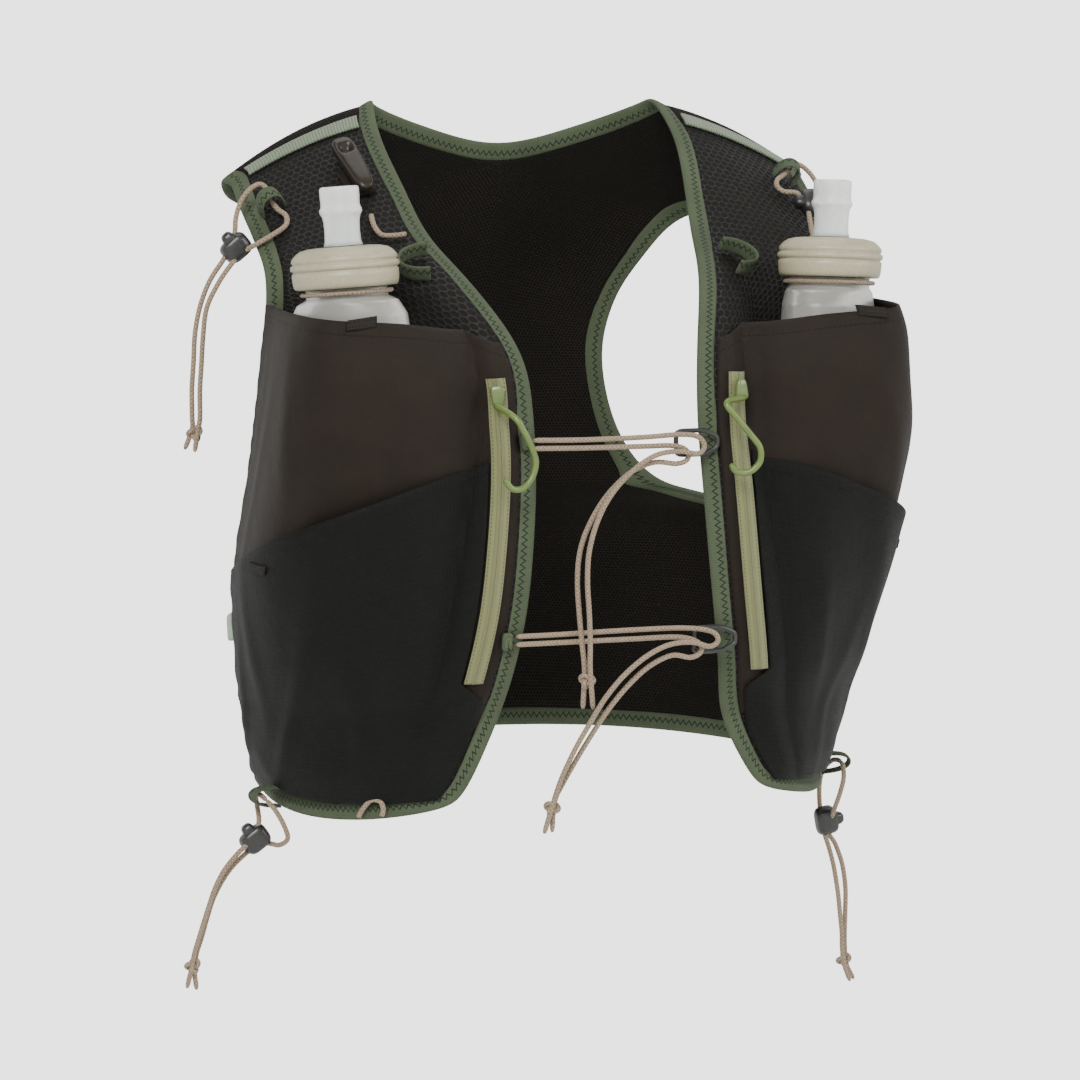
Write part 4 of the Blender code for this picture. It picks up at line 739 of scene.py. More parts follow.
flask_shares, flask_v, flask_k = pocket_places(FLASK_RIM, FLASK_POCKET_END, lambda v: POCKET_EDGE, 73, 73)
flask_hem = 0.5 * MM * np.exp(-((flask_v - flask_v[:1]) / 0.13) ** 2)
flask_seat = -1.2 * MM * np.exp(-((flask_k / 0.03) ** 2)) - 0.3 * MM * np.exp(-(((1 - flask_k) / 0.03) ** 2))
flask_folds = creased(flask_shares, flask_v, FLASK_CREASES) + puckered(flask_k, flask_v, 2.6, 1.3)
flask_points = pocket(flask_shares, flask_v, 9, flask_folds + flask_hem + flask_seat)
for name, mirror in SIDES:
    cloth = sheet_piece(f"flask_nylon_{name}", flask_points, mirror, POCKET_WALL, nylon_cloth,
                        "flask_pocket_cloth", f"flask_pocket_{name}")
    cut_cloth(flask_points)

# The lower pockets, of green-black ripstop, over the foot of the flask pockets. Their slanted top edge is
# turned and stitched, and they end in the hem binding.
LOWER_EASE = 3.2 * MM
LOWER_RIM = ((0.0, 6.45), (0.25, 6.85), (0.5, 7.3), (0.75, 7.75), (1.0, 8.1))
ZIP_WIDTH = 9.5 * MM
ZIP_EDGE = BINDING_WIDTH + 1.8 * MM
ZIP_END_ROW = 9.15
RIPSTOP_FACE = linear(18, 20, 17)
RIPSTOP_SHADE = linear(9, 11, 8)
RIPSTOP_STEP = 2.4
LOWER_CREASES = (
    (0.24, 8.6, 0.030, 1.3, 0.02, 1.1),
    (0.36, 9.8, 0.040, 1.2, -0.05, 1.5),
    (0.50, 8.4, 0.045, 1.2, 0.05, 1.4),
    (0.62, 10.1, 0.035, 0.9, 0.07, 1.7),
    (0.78, 8.8, 0.040, 1.2, -0.03, 1.8),
    (0.90, 9.7, 0.030, 1.2, 0.02, 1.7),
    (0.45, 10.9, 0.10, 0.3, 0.2, 0.7),
    (0.80, 10.9, 0.06, 0.4, -0.1, 0.9),
)
ripstop = Finish("black_ripstop", 0.58, specular_ior_level=0.12, sheen_weight=0.02)
across, along = ripstop.cloth_lines()
cords = (((across / RIPSTOP_STEP).whole("FRACT") - 0.88) * 20.0).clamped()
cords = cords.at_least((((along / RIPSTOP_STEP).whole("FRACT") - 0.88) * 20.0).clamped())
weave = wave(across, 0.55) * 0.5 + wave(along, 0.55) * 0.5
crinkle = ripstop.noise(48.0, 5.0)
rim_seam = rim_stitches(across, along)
ripstop_cloth = ripstop.paint(
    ripstop.mix((cords * 0.5 + crinkle * 0.6).clamped() * (1 - rim_seam * 0.8), RIPSTOP_SHADE, RIPSTOP_FACE),
    weave * 0.1 + cords * 0.12 + crinkle * 0.9 - rim_seam * 0.3, 1.1 * MM)


def lower_edge(v):
    """Beside the zip the pocket keeps clear of it, and below the zip it reaches the front binding."""
    return ZIP_EDGE + ZIP_WIDTH + 1 * MM - np.clip((v - ZIP_END_ROW) / 0.3, 0, 1) * (ZIP_WIDTH + 3.6 * MM)


LOWER_END = HEM_ROW - 0.5
LOWER_RISE = LAYER + LOWER_EASE
lower_shares, lower_v, lower_k = pocket_places(LOWER_RIM, LOWER_END, lower_edge, 73, 61)
lower_hem = 0.5 * MM * np.exp(-((lower_v - lower_v[:1]) / 0.12) ** 2)
lower_foot = -(LOWER_RISE + 0.6 * MM) * np.clip((lower_v - 10.1) / (LOWER_END - 10.1), 0, 1) ** 1.5
inner_seat = np.interp(lower_v, (9.2, 9.6, 10.0, 10.3), (0.25, 0.6, 0.75, 1.1))
outer_seat = np.interp(lower_v, (9.8, 10.3), (0.5, 1.1))
lower_seat = inner_seat * np.exp(-((lower_k / 0.05) ** 2)) + outer_seat * np.exp(-(((1 - lower_k) / 0.05) ** 2))
lower_folds = creased(lower_shares, lower_v, LOWER_CREASES) + puckered(lower_k, lower_v, 2.1, 1.5)
lower_points = pocket(lower_shares, lower_v, 10, (LOWER_RISE + lower_foot) * (1 - lower_seat) + lower_folds
                      + lower_hem)
for name, mirror in SIDES:
    cloth = sheet_piece(f"lower_ripstop_{name}", lower_points, mirror, POCKET_WALL, ripstop_cloth,
                        "lower_pocket_cloth", f"lower_pocket_{name}")
    cut_cloth(lower_points)

# The bartacks: small blocks of close dark stitching that strengthen the pocket rims, two on each side.
BARTACKS = (
    # name, pocket column, share, row, rise over the flask pocket in metres, width and height in millimetres
    ("flask_rim", 9, 0.44, 4.33, 0.0, 12, 5.5),
    ("lower_rim", 10, 0.70, 7.78, LOWER_RISE, 10, 3.4),
)
TACK_WALL = 0.6 * MM
TACK_STAND = 1.5 * MM
ROW_STEP = 33
ROW_WIDTH = 105
bartack_finish = Finish("bartack_thread", 0.7, specular_ior_level=0.2)
across, along = bartack_finish.cloth_lines()
lines = wave(across, 1.1) * 0.7 + wave(along, 2.2) * 0.3
bartack_thread = bartack_finish.paint(
    bartack_finish.mix(lines, linear(12, 11, 9), linear(40, 35, 29)), lines, 0.5 * MM)
for tack, column, share, row, rise, width, tall in BARTACKS:
    tack_rows = row + np.linspace(-0.5, 0.5, 5)[:, None] * tall / ROW_STEP
    tack_shares = share + np.linspace(-0.5, 0.5, 9)[None, :] * width / ROW_WIDTH + 0 * tack_rows
    tack_points = pocket(tack_shares, tack_rows + 0 * tack_shares, column, rise + TACK_STAND)
    for name, mirror in SIDES:
        sheet_piece(f"bartack_{tack}_{name}", tack_points, mirror, TACK_WALL, bartack_thread,
                    "flask_pocket_cloth")

# The zips: olive tape with a covered coil down its middle and a row of stitches along each edge. Each has a
# small enamelled slider at its top, with a moulded lime pull that hangs from it in a hook shape.
ZIP_TOP_ROW = 5.3
ZIP_WALL = 1.2 * MM
ZIP_EASE = 1.0 * MM
ZIP_FACE = linear(126, 128, 82)
ZIP_SHADE = linear(88, 91, 54)
COIL_STEP = 1.3
zip_finish = Finish("zip_tape", 0.7, sheen_weight=0.2)
across, along = zip_finish.cloth_lines()
from_middle = (across - ZIP_WIDTH / MM / 2).whole("ABSOLUTE")
coil = (1 - ((from_middle - 1.5) * 3.0).clamped())
teeth = wave(along + from_middle * 0.9, COIL_STEP)
edge_seam = 1 - (((from_middle - 3.9).whole("ABSOLUTE") - 0.22) * 6.0).clamped()
edge_seam = edge_seam * (((along / 2.0).whole("FRACT") - 0.6) < 0.0)
split = 1 - ((from_middle - 0.12) * 8.0).clamped()
herring = wave(along + from_middle * 1.4, 0.8)
zip_cloth = zip_finish.paint(
    zip_finish.mix((edge_seam * 0.8).at_least(coil * (1 - teeth) * 0.45).at_least(split * 0.8),
                   zip_finish.mix(herring * 0.85, ZIP_FACE, ZIP_SHADE), linear(58, 62, 36)),
    coil * (teeth * 0.4 + 0.6) * 0.8 + herring * 0.25 + edge_seam * 0.1, 0.5 * MM)

zip_rows = np.linspace(ZIP_TOP_ROW, ZIP_END_ROW, 97)
zip_k = np.linspace(0, 1, 13)
zip_shares = np.stack([share_at(front, zip_rows, ZIP_EDGE + ZIP_WIDTH * k) for k in zip_k], 1)
zip_rib = 0.5 * MM * np.exp(-(((zip_k - 0.5) / 0.17) ** 4))
zip_points = pocket(zip_shares, zip_rows[:, None] + 0 * zip_k, 9, LAYER + ZIP_EASE + zip_rib)
for name, mirror in SIDES:
    sheet_piece(f"zip_cloth_{name}", zip_points, mirror, ZIP_WALL, zip_cloth, "zip_tape", f"zip_tape_{name}")

# The lime pulls are one moulded tube each, which hangs from the slider's eye and turns up at its foot.
PULL_DIAMETER = 3.2 * MM
PULL_ROUTES = {
    "right": [(-59, -127, -150), (-55, -129, -157), (-51, -129, -165), (-49, -128.5, -172), (-51, -129, -179),
              (-56, -130, -184), (-62, -131, -184), (-66, -131, -179)],
    "left": [(52, -125, -146), (57, -128, -154), (63, -130.5, -162), (67, -132, -168), (67, -132, -175),
             (62, -131, -180), (56, -129, -180), (53, -128, -176)],
}
pull_rubber = grained("lime_rubber", 0.42, 160.0, 2.0, (76, 94, 38), (98, 118, 54), 0.1 * MM, coat_weight=0.2)


def smooth_route(points, spacing):
    """Points a spacing apart along the smooth curve through a route given in millimetres."""
    points = np.array(points, float) * MM
    fine = spline(points, np.linspace(0, len(points) - 1, 40 * len(points)))
    lengths = np.concatenate([[0], np.cumsum(np.linalg.norm(np.diff(fine, axis=0), axis=1))])
    wanted = np.linspace(0, lengths[-1], max(4, round(lengths[-1] / spacing) + 1))
    return np.stack([np.interp(wanted, lengths, fine[:, k]) for k in range(3)], 1)


def tube(path, radius, sides=14, closed=False):
    """A circle carried along a path. Its first spoke is turned from station to station as little as can be."""
    ahead = unit(np.roll(path, -1, 0) - np.roll(path, 1, 0) if closed else np.gradient(path, axis=0))
    spoke = unit(np.cross(ahead[0], [0.31, 0.87, 0.38]))
    spokes = []
    for way in ahead:
        spoke = unit(spoke - way * np.dot(spoke, way))
        spokes.append(spoke)
    spokes = np.array(spokes)
    turn = np.linspace(0, 2 * math.pi, sides + 1)
    radius = np.broadcast_to(np.asarray(radius, float), (len(path),))[:, None, None]
    other = np.cross(ahead, spokes)
    points = path[:, None] + radius * (spokes[:, None] * np.cos(turn)[None, :, None]
                                       + other[:, None] * np.sin(turn)[None, :, None])
    length = np.concatenate([[0], np.cumsum(np.linalg.norm(np.diff(path, axis=0), axis=-1))])
    if closed:
        length = np.append(length, length[-1] + np.linalg.norm(path[0] - path[-1]))
    uv = np.stack(np.broadcast_arrays(turn[None, :] / (2 * math.pi), length[:, None] / MM), -1)
    return points[:, :-1], uv


def rounded_ends(count, radius):
    """The radius at each of count stations, brought in at both ends as a quarter circle."""
    k = np.minimum(np.arange(count), np.arange(count)[::-1])
    return radius * np.sqrt(1 - (1 - np.clip((k + 0.35) / END_STATIONS, 0, 1)) ** 2)


END_STATIONS = 3
PULL_ROW = ZIP_TOP_ROW + 0.35
PULL_STAND = 4.6 * MM
pull_share = share_at(front, PULL_ROW, ZIP_EDGE + ZIP_WIDTH / 2)
pull_top = pocket(pull_share, np.array([PULL_ROW]), 9, LAYER + ZIP_EASE + PULL_STAND)[0] / MM
for name, mirror in SIDES:
    path = smooth_route([tuple(pull_top * mirror)] + PULL_ROUTES[name], 0.9 * MM)
    points, uv = tube(path, rounded_ends(len(path), PULL_DIAMETER / 2))
    piece(f"lime_pull_{name}", points, uv, TUBE, pull_rubber, "zip_pull", f"zip_pull_{name}")


def moulding(size, corner, matrix, sides=40, rings=25, taper=0.0):
    """A rounded block, |x|^p + |y|^p + |z|^p = 1 with p = corner, of this size and placed by a matrix."""
    a = np.linspace(0, 2 * math.pi, sides + 1)
    b = np.linspace(-math.pi / 2 + 0.02, math.pi / 2 - 0.02, rings)
    ball = np.stack(np.broadcast_arrays(np.cos(b)[:, None] * np.cos(a), np.cos(b)[:, None] * np.sin(a),
                                        np.sin(b)[:, None]), -1)
    ball = ball / (np.abs(ball) ** corner).sum(-1, keepdims=True) ** (1 / corner)
    ball[..., 0] *= 1 + taper * ball[..., 1]
    local = ball * np.array(size) / 2
    uv = np.stack(np.broadcast_arrays(a[None, :] * size[0] / 2, b[:, None] * size[2] / 2), -1) / MM
    points = local @ matrix[:3, :3].T + matrix[:3, 3]
    return points[:, :-1], uv


def outward(surface, u, v):
    """The unit normal of a front surface, facing away from the body."""
    step = 0.01
    along = surface(u + step, v) - surface(u - step, v)
    down = surface(u, v + step) - surface(u, v - step)
    return unit(np.cross(down, along))


def frame_at(surface, u, v, mirror, stand):
    """A matrix on a surface: x along the row, y up the rows and z outward, at this stand from the surface."""
    u, v = np.array([float(u)]), np.array([float(v)])
    normal = outward(surface, u, v)[0]
    place = (surface(u, v)[0] + normal * stand) * mirror
    normal = normal * mirror
    along = unit(surface(u + 0.01, v) - surface(u - 0.01, v))[0] * mirror
    along = unit(along - normal * np.dot(along, normal))
    matrix = np.eye(4)
    matrix[:3, 0], matrix[:3, 1], matrix[:3, 2], matrix[:3, 3] = along, np.cross(normal, along), normal, place
    return matrix


def zip_surface(u, v):
    """The zip tape's middle surface."""
    return pocket(u, v, 9, LAYER + ZIP_EASE)


SLIDER_SIZE = (6.6 * MM, 10.5 * MM, 3.8 * MM)
SLIDER_ROW = ZIP_TOP_ROW + 0.25
SLIDER_STAND = 3.0 * MM
slider_enamel = grained("slider_enamel", 0.35, 300.0, 2.0, (70, 88, 36), (96, 114, 58), 0, coat_weight=0.4)
slider_share = share_at(front, SLIDER_ROW, ZIP_EDGE + ZIP_WIDTH / 2)[0]
for name, mirror in SIDES:
    place = frame_at(zip_surface, slider_share, SLIDER_ROW, mirror, SLIDER_STAND)
    points, uv = moulding(SLIDER_SIZE, 4, place, taper=-0.25)
    piece(f"slider_{name}", points, uv, TUBE, slider_enamel, "zip_pull", f"zip_slider_{name}")

# The webbing: a light ribbed strip over each shoulder seam, and short sage loops that the cords run through.
# The loops on the chest stand out from the front binding, and keep a drinking tube in place.
LIGHT_FACE = linear(122, 134, 110)
LIGHT_SHADE = linear(82, 95, 74)
webbing = Finish("light_webbing", 0.75, sheen_weight=0.2)
across, along = webbing.cloth_lines()
cord_ribs = wave(along, 1.7)
fine_ribs = wave(across, 0.9)
light_webbing = webbing.paint(webbing.mix(cord_ribs * 0.7 + fine_ribs * 0.2, LIGHT_SHADE, LIGHT_FACE),
                              cord_ribs + fine_ribs * 0.3, 0.4 * MM)
WEBBING_WALL = 1.2 * MM
SEAM_ROWS = ((back, 0.3), (back, 0.15), (front, 0.0), (front, 0.09), (front, 0.17))
seam_shares = np.linspace(0.125, 0.88, 61)
seam_stand = PANEL_WALL / 2 + CLEARANCE + WEBBING_WALL / 2 + 0.3 * MM
seam_rise = outward(front, seam_shares, 0.2 + 0 * seam_shares) * seam_stand
seam_points = np.stack([surface(seam_shares, row + 0 * seam_shares) + seam_rise for surface, row in SEAM_ROWS], 1)
for name, mirror in SIDES:
    sheet_piece(f"seam_webbing_{name}", seam_points, mirror, WEBBING_WALL, light_webbing, "light_webbing",
                f"shoulder_webbing_{name}")

ARCH_WALL = 1.5 * MM
ARCH_WIDTH = 8 * MM
ARCHES = (
    # node, side, share, row, span, height, along the row, stand, in millimetres
    ("shoulder_loop_right", 0, 0.83, 1.55, 12, 12, True, 2.6),
    ("shoulder_loop_left", 1, 0.74, 1.1, 12, 12, True, 2.6),
    ("hem_loop_right", 0, 0.72, 11.7, 9.5, 15.5, False, 3.1),
    ("hem_loop_left", 1, 0.72, 11.7, 9.5, 15.5, False, 3.1),
)
arch_turn = np.linspace(0, math.pi, 41)
for node, side, u, v, span, height, along_row, stand in ARCHES:
    matrix = frame_at(front, u, v, SIDES[side][1], stand * MM)
    low = np.clip(np.sin(arch_turn), 0, 1) ** 0.6 * height * MM
    reach = -np.cos(arch_turn) * span / 2 * MM
    lines = []
    for rim in (-ARCH_WIDTH / 2, ARCH_WIDTH / 2):
        x, y = (reach, 0 * reach + rim) if along_row else (0 * reach + rim, reach)
        lines.append(np.stack([x, y, low], 1) @ matrix[:3, :3].T + matrix[:3, 3])
    points, uv = folded_tape(lines[0], lines[1], ARCH_WALL)
    piece(f"{node}_tape", points, uv, TUBE, tape_cloth, "sage_binding", node)

EDGE_LOOP_ROW = 3.7
EDGE_LOOP_REACH = 15 * MM
EDGE_LOOP_SPAN = 20 * MM
EDGE_LOOP_WIDTH = 9 * MM
loop_turn = np.linspace(-math.pi / 2, math.pi / 2, 41)
for name, mirror in SIDES:
    matrix = frame_at(front, 0.13, EDGE_LOOP_ROW, mirror, PANEL_WALL / 2 + CLEARANCE)
    x = 1 * MM + np.maximum(np.cos(loop_turn), 0) ** 0.8 * EDGE_LOOP_REACH
    y = np.sin(loop_turn) * EDGE_LOOP_SPAN / 2
    lines = [np.stack([x, y, 0 * x + z], 1) @ matrix[:3, :3].T + matrix[:3, 3]
             for z in (0.3 * MM, EDGE_LOOP_WIDTH)]
    points, uv = folded_tape(lines[0], lines[1], ARCH_WALL)
    piece(f"edge_loop_{name}_tape", points, uv, TUBE, tape_cloth, "sage_binding", f"edge_loop_{name}")

# The soft flasks: a frosted film bag under a screw lid of grey-beige plastic with two grooves, and a bite valve
# of milky silicone. An elastic ring holds each flask's neck.
LID_DIAMETER = 54 * MM
LID_HEIGHT = 20 * MM
VALVE_DIAMETER = 21 * MM
VALVE_HEIGHT = 29 * MM
FLASK_WIDTH = 70 * MM
FLASK_THICK = 48 * MM
FLASK_HEIGHT = 155 * MM
NECK_CORD = 2.2 * MM
NECK_EASE = 0.7 * MM
NECK_SHARE = 0.014
LID_SEAT = (0.63, 3.2, 0.92)
BASE_SEAT = (0.40, 8.0, 0.45)
FLASK_SECTIONS = (
    # height, width, thickness: shares of FLASK_HEIGHT, FLASK_WIDTH and FLASK_THICK, from the neck down
    (0.0, 0.57, 0.86),
    (0.03, 0.57, 0.86),
    (0.045, 0.74, 0.90),
    (0.09, 0.88, 0.92),
    (0.25, 0.97, 0.92),
    (0.55, 1.0, 0.94),
    (0.8, 0.99, 0.88),
    (0.93, 0.92, 0.62),
    (1.0, 0.78, 0.24),
)
LID_PROFILE = (
    # radius share of LID_DIAMETER, height share of LID_HEIGHT up from the lid's foot
    (0.02, 1.0), (0.25, 1.0), (0.33, 0.985), (0.40, 0.94), (0.435, 0.88), (0.465, 0.80), (0.482, 0.74),
    (0.487, 0.67), (0.476, 0.645), (0.476, 0.615), (0.492, 0.59), (0.498, 0.55), (0.497, 0.49),
    (0.488, 0.465), (0.475, 0.45), (0.475, 0.42), (0.487, 0.40), (0.488, 0.30), (0.483, 0.14), (0.476, 0.05),
    (0.460, 0.0), (0.02, 0.0),
)
VALVE_PROFILE = (
    # radius share of VALVE_DIAMETER, height share of VALVE_HEIGHT up from the lid
    (0.02, 0.985), (0.20, 0.985), (0.30, 0.975), (0.34, 1.0), (0.40, 1.0), (0.445, 0.985), (0.465, 0.95),
    (0.462, 0.80), (0.455, 0.70), (0.470, 0.64), (0.498, 0.615), (0.500, 0.57), (0.480, 0.535), (0.450, 0.50),
    (0.425, 0.42), (0.415, 0.25), (0.425, 0.08), (0.46, 0.0), (0.02, 0.0),
)
lid_plastic = grained("lid_plastic", 0.42, 420.0, 3.0, (146, 139, 114), (172, 164, 137), 0.08 * MM, (0.2, 0.32),
                      coat_weight=0.12, coat_roughness=0.3)
milky_silicone = grained("milky_silicone", 0.34, 120.0, 2.0, (226, 226, 222), (243, 243, 240), 0.1 * MM,
                         transmission_weight=0.35, ior=1.41, subsurface_weight=0.3)
frosted_film = grained("frosted_film", 0.3, 34.0, 4.0, (140, 138, 130), (206, 204, 195), 1.6 * MM, (0.25, 0.18),
                       transmission_weight=0.45, ior=1.38)


def flask_matrix(mirror, side):
    """The foot of the lid: z up the flask's axis, x across its width and y through its thickness."""
    ends = [front(np.array([share]), np.array([row]), stand * FLASK_THICK)[0]
            for share, row, stand in (LID_SEAT, BASE_SEAT)]
    chord = front(np.array([0.8]), np.array([6.0]))[0] - front(np.array([0.2]), np.array([6.0]))[0]
    axis = unit((ends[0] - ends[1]) * mirror)
    wide = chord * mirror * side
    wide = unit(wide - axis * np.dot(wide, axis))
    matrix = np.eye(4)
    matrix[:3, 0], matrix[:3, 1], matrix[:3, 2] = wide, np.cross(axis, wide), axis
    matrix[:3, 3] = ends[0] * mirror - axis * LID_HEIGHT / 2
    return matrix


def turned(profile, wide, tall, matrix, foot, sides=96):
    """A profile of radius and height turned about the flask's axis."""
    profile = np.array(profile)[::-1]
    turn = np.linspace(0, 2 * math.pi, sides + 1)
    r, z = profile[:, :1] * wide, profile[:, 1:] * tall + foot
    local = np.stack(np.broadcast_arrays(r * np.cos(turn), r * np.sin(turn), z), -1)
    up = np.linspace(0, tall, len(profile))[:, None]
    uv = np.stack(np.broadcast_arrays(turn[None, :] * wide / 2, up), -1) / MM
    return (local @ matrix[:3, :3].T + matrix[:3, 3])[:, :-1], uv


cord_finish = Finish("braided_elastic", 0.7, sheen_weight=0.2)
around, along = cord_finish.cloth_lines()
PICK = 2.1
over = wave(around * 4.0 + along / PICK, 1.0) * 0.5 + wave(around * -4.0 + along / PICK, 1.0) * 0.5
fleck = cord_finish.noise(700.0, 1.0)
braided_cord = cord_finish.paint(
    cord_finish.mix((over * 0.7 + fleck * 0.45).clamped(), linear(84, 68, 52), linear(158, 137, 112)), over,
    0.3 * MM)

section_heights = np.array(FLASK_SECTIONS)
neck_ring = np.linspace(0, 2 * math.pi, 97)[:-1]
for (name, mirror), side in zip(SIDES, (-1, 1)):
    matrix = flask_matrix(mirror, side)
    steps = np.concatenate([np.linspace(0, 0.1, 14), np.linspace(0.1, 1.0, 40)[1:]])
    wide = np.interp(steps, section_heights[:, 0], section_heights[:, 1]) * FLASK_WIDTH / 2
    thick = np.interp(steps, section_heights[:, 0], section_heights[:, 2]) * FLASK_THICK / 2
    turn = np.linspace(0, 2 * math.pi, 97)
    pucker = 1 + 0.012 * np.sin(9 * turn + 7 * steps[:, None]) * np.clip((steps[:, None] - 0.06) / 0.1, 0, 1)
    local = np.stack(np.broadcast_arrays(
        wide[:, None] * np.cos(turn) * pucker, thick[:, None] * np.sin(turn) * pucker,
        -CLEARANCE - steps[:, None] * FLASK_HEIGHT), -1)[::-1]
    points = (local @ matrix[:3, :3].T + matrix[:3, 3])[:, :-1]
    uv = np.stack(np.broadcast_arrays(turn[None, :] * 30, steps[:, None] * 155), -1)
    piece(f"flask_film_{name}", points, uv, TUBE, frosted_film, "flask_film", f"flask_body_{name}")
    points, uv = turned(LID_PROFILE, LID_DIAMETER, LID_HEIGHT, matrix, 0.0)
    piece(f"screw_lid_{name}", points, uv, TUBE, lid_plastic, "flask_lid", f"flask_lid_{name}")
    points, uv = turned(VALVE_PROFILE, VALVE_DIAMETER, VALVE_HEIGHT, matrix, LID_HEIGHT + CLEARANCE)
    piece(f"bite_valve_{name}", points, uv, TUBE, milky_silicone, "flask_valve", f"flask_valve_{name}")
    reach = NECK_CORD / 2 + NECK_EASE
    neck_wide, neck_thick = section_heights[0, 1:]
    ring = np.stack([np.cos(neck_ring) * (neck_wide * FLASK_WIDTH / 2 + reach),
                     np.sin(neck_ring) * (neck_thick * FLASK_THICK / 2 + reach),
                     0 * neck_ring - CLEARANCE - NECK_SHARE * FLASK_HEIGHT], 1)
    points, uv = tube(ring @ matrix[:3, :3].T + matrix[:3, 3], NECK_CORD / 2, 12, True)
    piece(f"neck_elastic_{name}", points, uv, RING, braided_cord, "elastic_cord", f"flask_bungee_{name}")

# The adjusters: on each shoulder and hip a thin braided elastic runs down from its webbing loop as two strands,
# through a black cord lock, to an overhand knot. Each strand is laid from its loop to past the knot.
CORD_DIAMETER = 2.6 * MM
ADJUSTERS = {
    "shoulder_right": {
        "first_end": [(-192, 0, -173), (-188, 0.5, -163), (-188, 0, -156), (-188, 0, -143), (-187, 0, -129),
                      (-186, 0, -114), (-183, 0, -100), (-178, 0, -88), (-171, 0.5, -78), (-166.5, 1.5, -71)],
        "loop": [(-164, 3.5, -64), (-163, 5, -57), (-160, 6, -49), (-155, 7, -43), (-149.5, 8, -40.5),
                 (-146, 6.5, -43.5), (-144.8, 3.8, -49), (-142.5, -0.5, -53), (-139.5, -4.5, -56),
                 (-140.5, -8, -60.5), (-147, -10.5, -64.5), (-155.5, -9, -69.5)],
        "second_end": [(-162, -4, -74), (-168, -4, -80), (-175, -4.5, -89.5), (-181, -4.5, -101.5),
                       (-183, -4.5, -115), (-184, -4.5, -129), (-185, -4.5, -143), (-185, -4, -157),
                       (-186, -3, -164), (-188, -4.5, -174)],
        "knot": (-187, -1.5, -165),
        "lock": (-164.5, -1.2, -72),
        "lean": (0.75, -0.1, 0.65),
    },
    "hem_right": {
        "first_end": [(-198, -17, -446), (-195.5, -17, -436), (-194, -17.5, -428), (-191, -18, -418),
                      (-187, -18, -406), (-183, -18, -395), (-178, -18, -386), (-171, -18, -378),
                      (-165, -18, -372.5)],
        "loop": [(-159.5, -16, -364), (-158.7, -11, -356), (-159, -9.5, -351.5), (-159.3, -14, -348.8),
                 (-158.8, -20, -348.8), (-158, -26, -350), (-155, -30.5, -354), (-150.5, -31, -362),
                 (-147.5, -28, -370), (-150, -21, -374.5), (-154, -15, -374.5)],
        "second_end": [(-159, -13, -375), (-165, -13, -379), (-172, -13, -385), (-177.5, -13, -392),
                       (-182.5, -13, -401), (-186, -13, -411), (-189, -13, -421), (-192, -14, -429),
                       (-193.5, -15, -437), (-192, -13, -448)],
        "knot": (-194.5, -16, -435),
        "lock": (-161, -15.5, -371.8),
        "lean": (0.8, 0.0, 0.6),
    },
    "shoulder_left": {
        "first_end": [(147.5, -37, -159), (146.5, -38, -150), (146.5, -39, -140), (146, -40.5, -128),
                      (145, -41, -114), (144, -39.5, -101), (143, -37, -90), (142, -30.5, -81), (141.5, -20.5, -72),
                      (142, -14, -62.5), (142.8, -7.5, -54.5)],
        "loop": [(139, -3.5, -48.5), (132, -2, -47.5), (129.5, 1.5, -44.5), (131.5, 5.5, -41.5), (136, 9, -39.5),
                 (140.5, 12.5, -37.2), (144.5, 16, -34), (149.5, 18, -34.5), (154, 16, -38.5), (156.5, 11.5, -44.5),
                 (154, 4, -48.5)],
        "second_end": [(149.5, -5, -54.5), (148, -13, -64), (147, -20.5, -73), (147.5, -30, -82.5),
                       (148, -35, -92), (149, -37.5, -103), (150, -38.5, -115), (150.5, -37.5, -129),
                       (150.5, -36, -140), (150.5, -35, -150), (153, -33, -158)],
        "knot": (148.5, -36.5, -148),
        "lock": (146, -6, -53),
        "lean": (0.0, 0.6, 0.7),
    },
    "hem_left": {
        "first_end": [(168, -15.5, -470), (165, -14.5, -461), (163.5, -15, -452), (163, -15.5, -443),
                      (162, -15.5, -434), (160.5, -15.5, -421), (158, -15.5, -407), (155, -15.5, -396),
                      (152.5, -15, -388)],
        "loop": [(151.5, -11.5, -376), (152.5, -8, -364), (154.5, -8, -355.5), (157.8, -11, -350.5),
                 (158.8, -16, -349), (158.8, -22, -349), (158, -27, -351), (157, -30, -357), (156, -27, -366),
                 (155.5, -20.5, -376)],
        "second_end": [(156, -12.5, -388), (161, -10.5, -396), (165, -10.5, -407), (167, -10.5, -420),
                       (167, -10.5, -434), (166.8, -10.5, -443), (166.5, -11.5, -452), (167, -12.5, -461),
                       (172, -11, -470)],
        "knot": (165.5, -13, -459),
        "lock": (154, -14.5, -382),
        "lean": (0.2, 0.05, -1.0),
    },
}
KNOT_SCALE = 1.15 * MM
KNOT_TIGHTNESS = 0.92
BUTTON_RISE = 3.6 * MM
LOCK_SIZE = (15 * MM, 9.6 * MM, 12 * MM)
BUTTON_SIZE = (7 * MM, 7.2 * MM, 12 * MM)
black_plastic = grained("black_plastic", 0.38, 380.0, 2.0, (24, 24, 24), (44, 44, 43), 0.08 * MM, (0.2, 0.28),
                        coat_weight=0.15, coat_roughness=0.2)


def overhand_knot(name, centre, lean, node):
    """The trefoil (sin t + 2 sin 2t, cos t - 2 cos 2t, -sin 3t), flattened from front to back, in cord."""
    t = np.linspace(0, 2 * math.pi, 121)[:-1]
    x, z = np.sin(t) + 2 * np.sin(2 * t), np.cos(t) - 2 * np.cos(2 * t)
    path = np.stack([x * math.cos(lean) - z * math.sin(lean), -1.3 * np.sin(3 * t),
                     x * math.sin(lean) + z * math.cos(lean)], 1) * KNOT_SCALE
    points, uv = tube(path + np.array(centre) * MM, CORD_DIAMETER / 2 * KNOT_TIGHTNESS, 12, True)
    return piece(name, points, uv, RING, braided_cord, "elastic_cord", node)


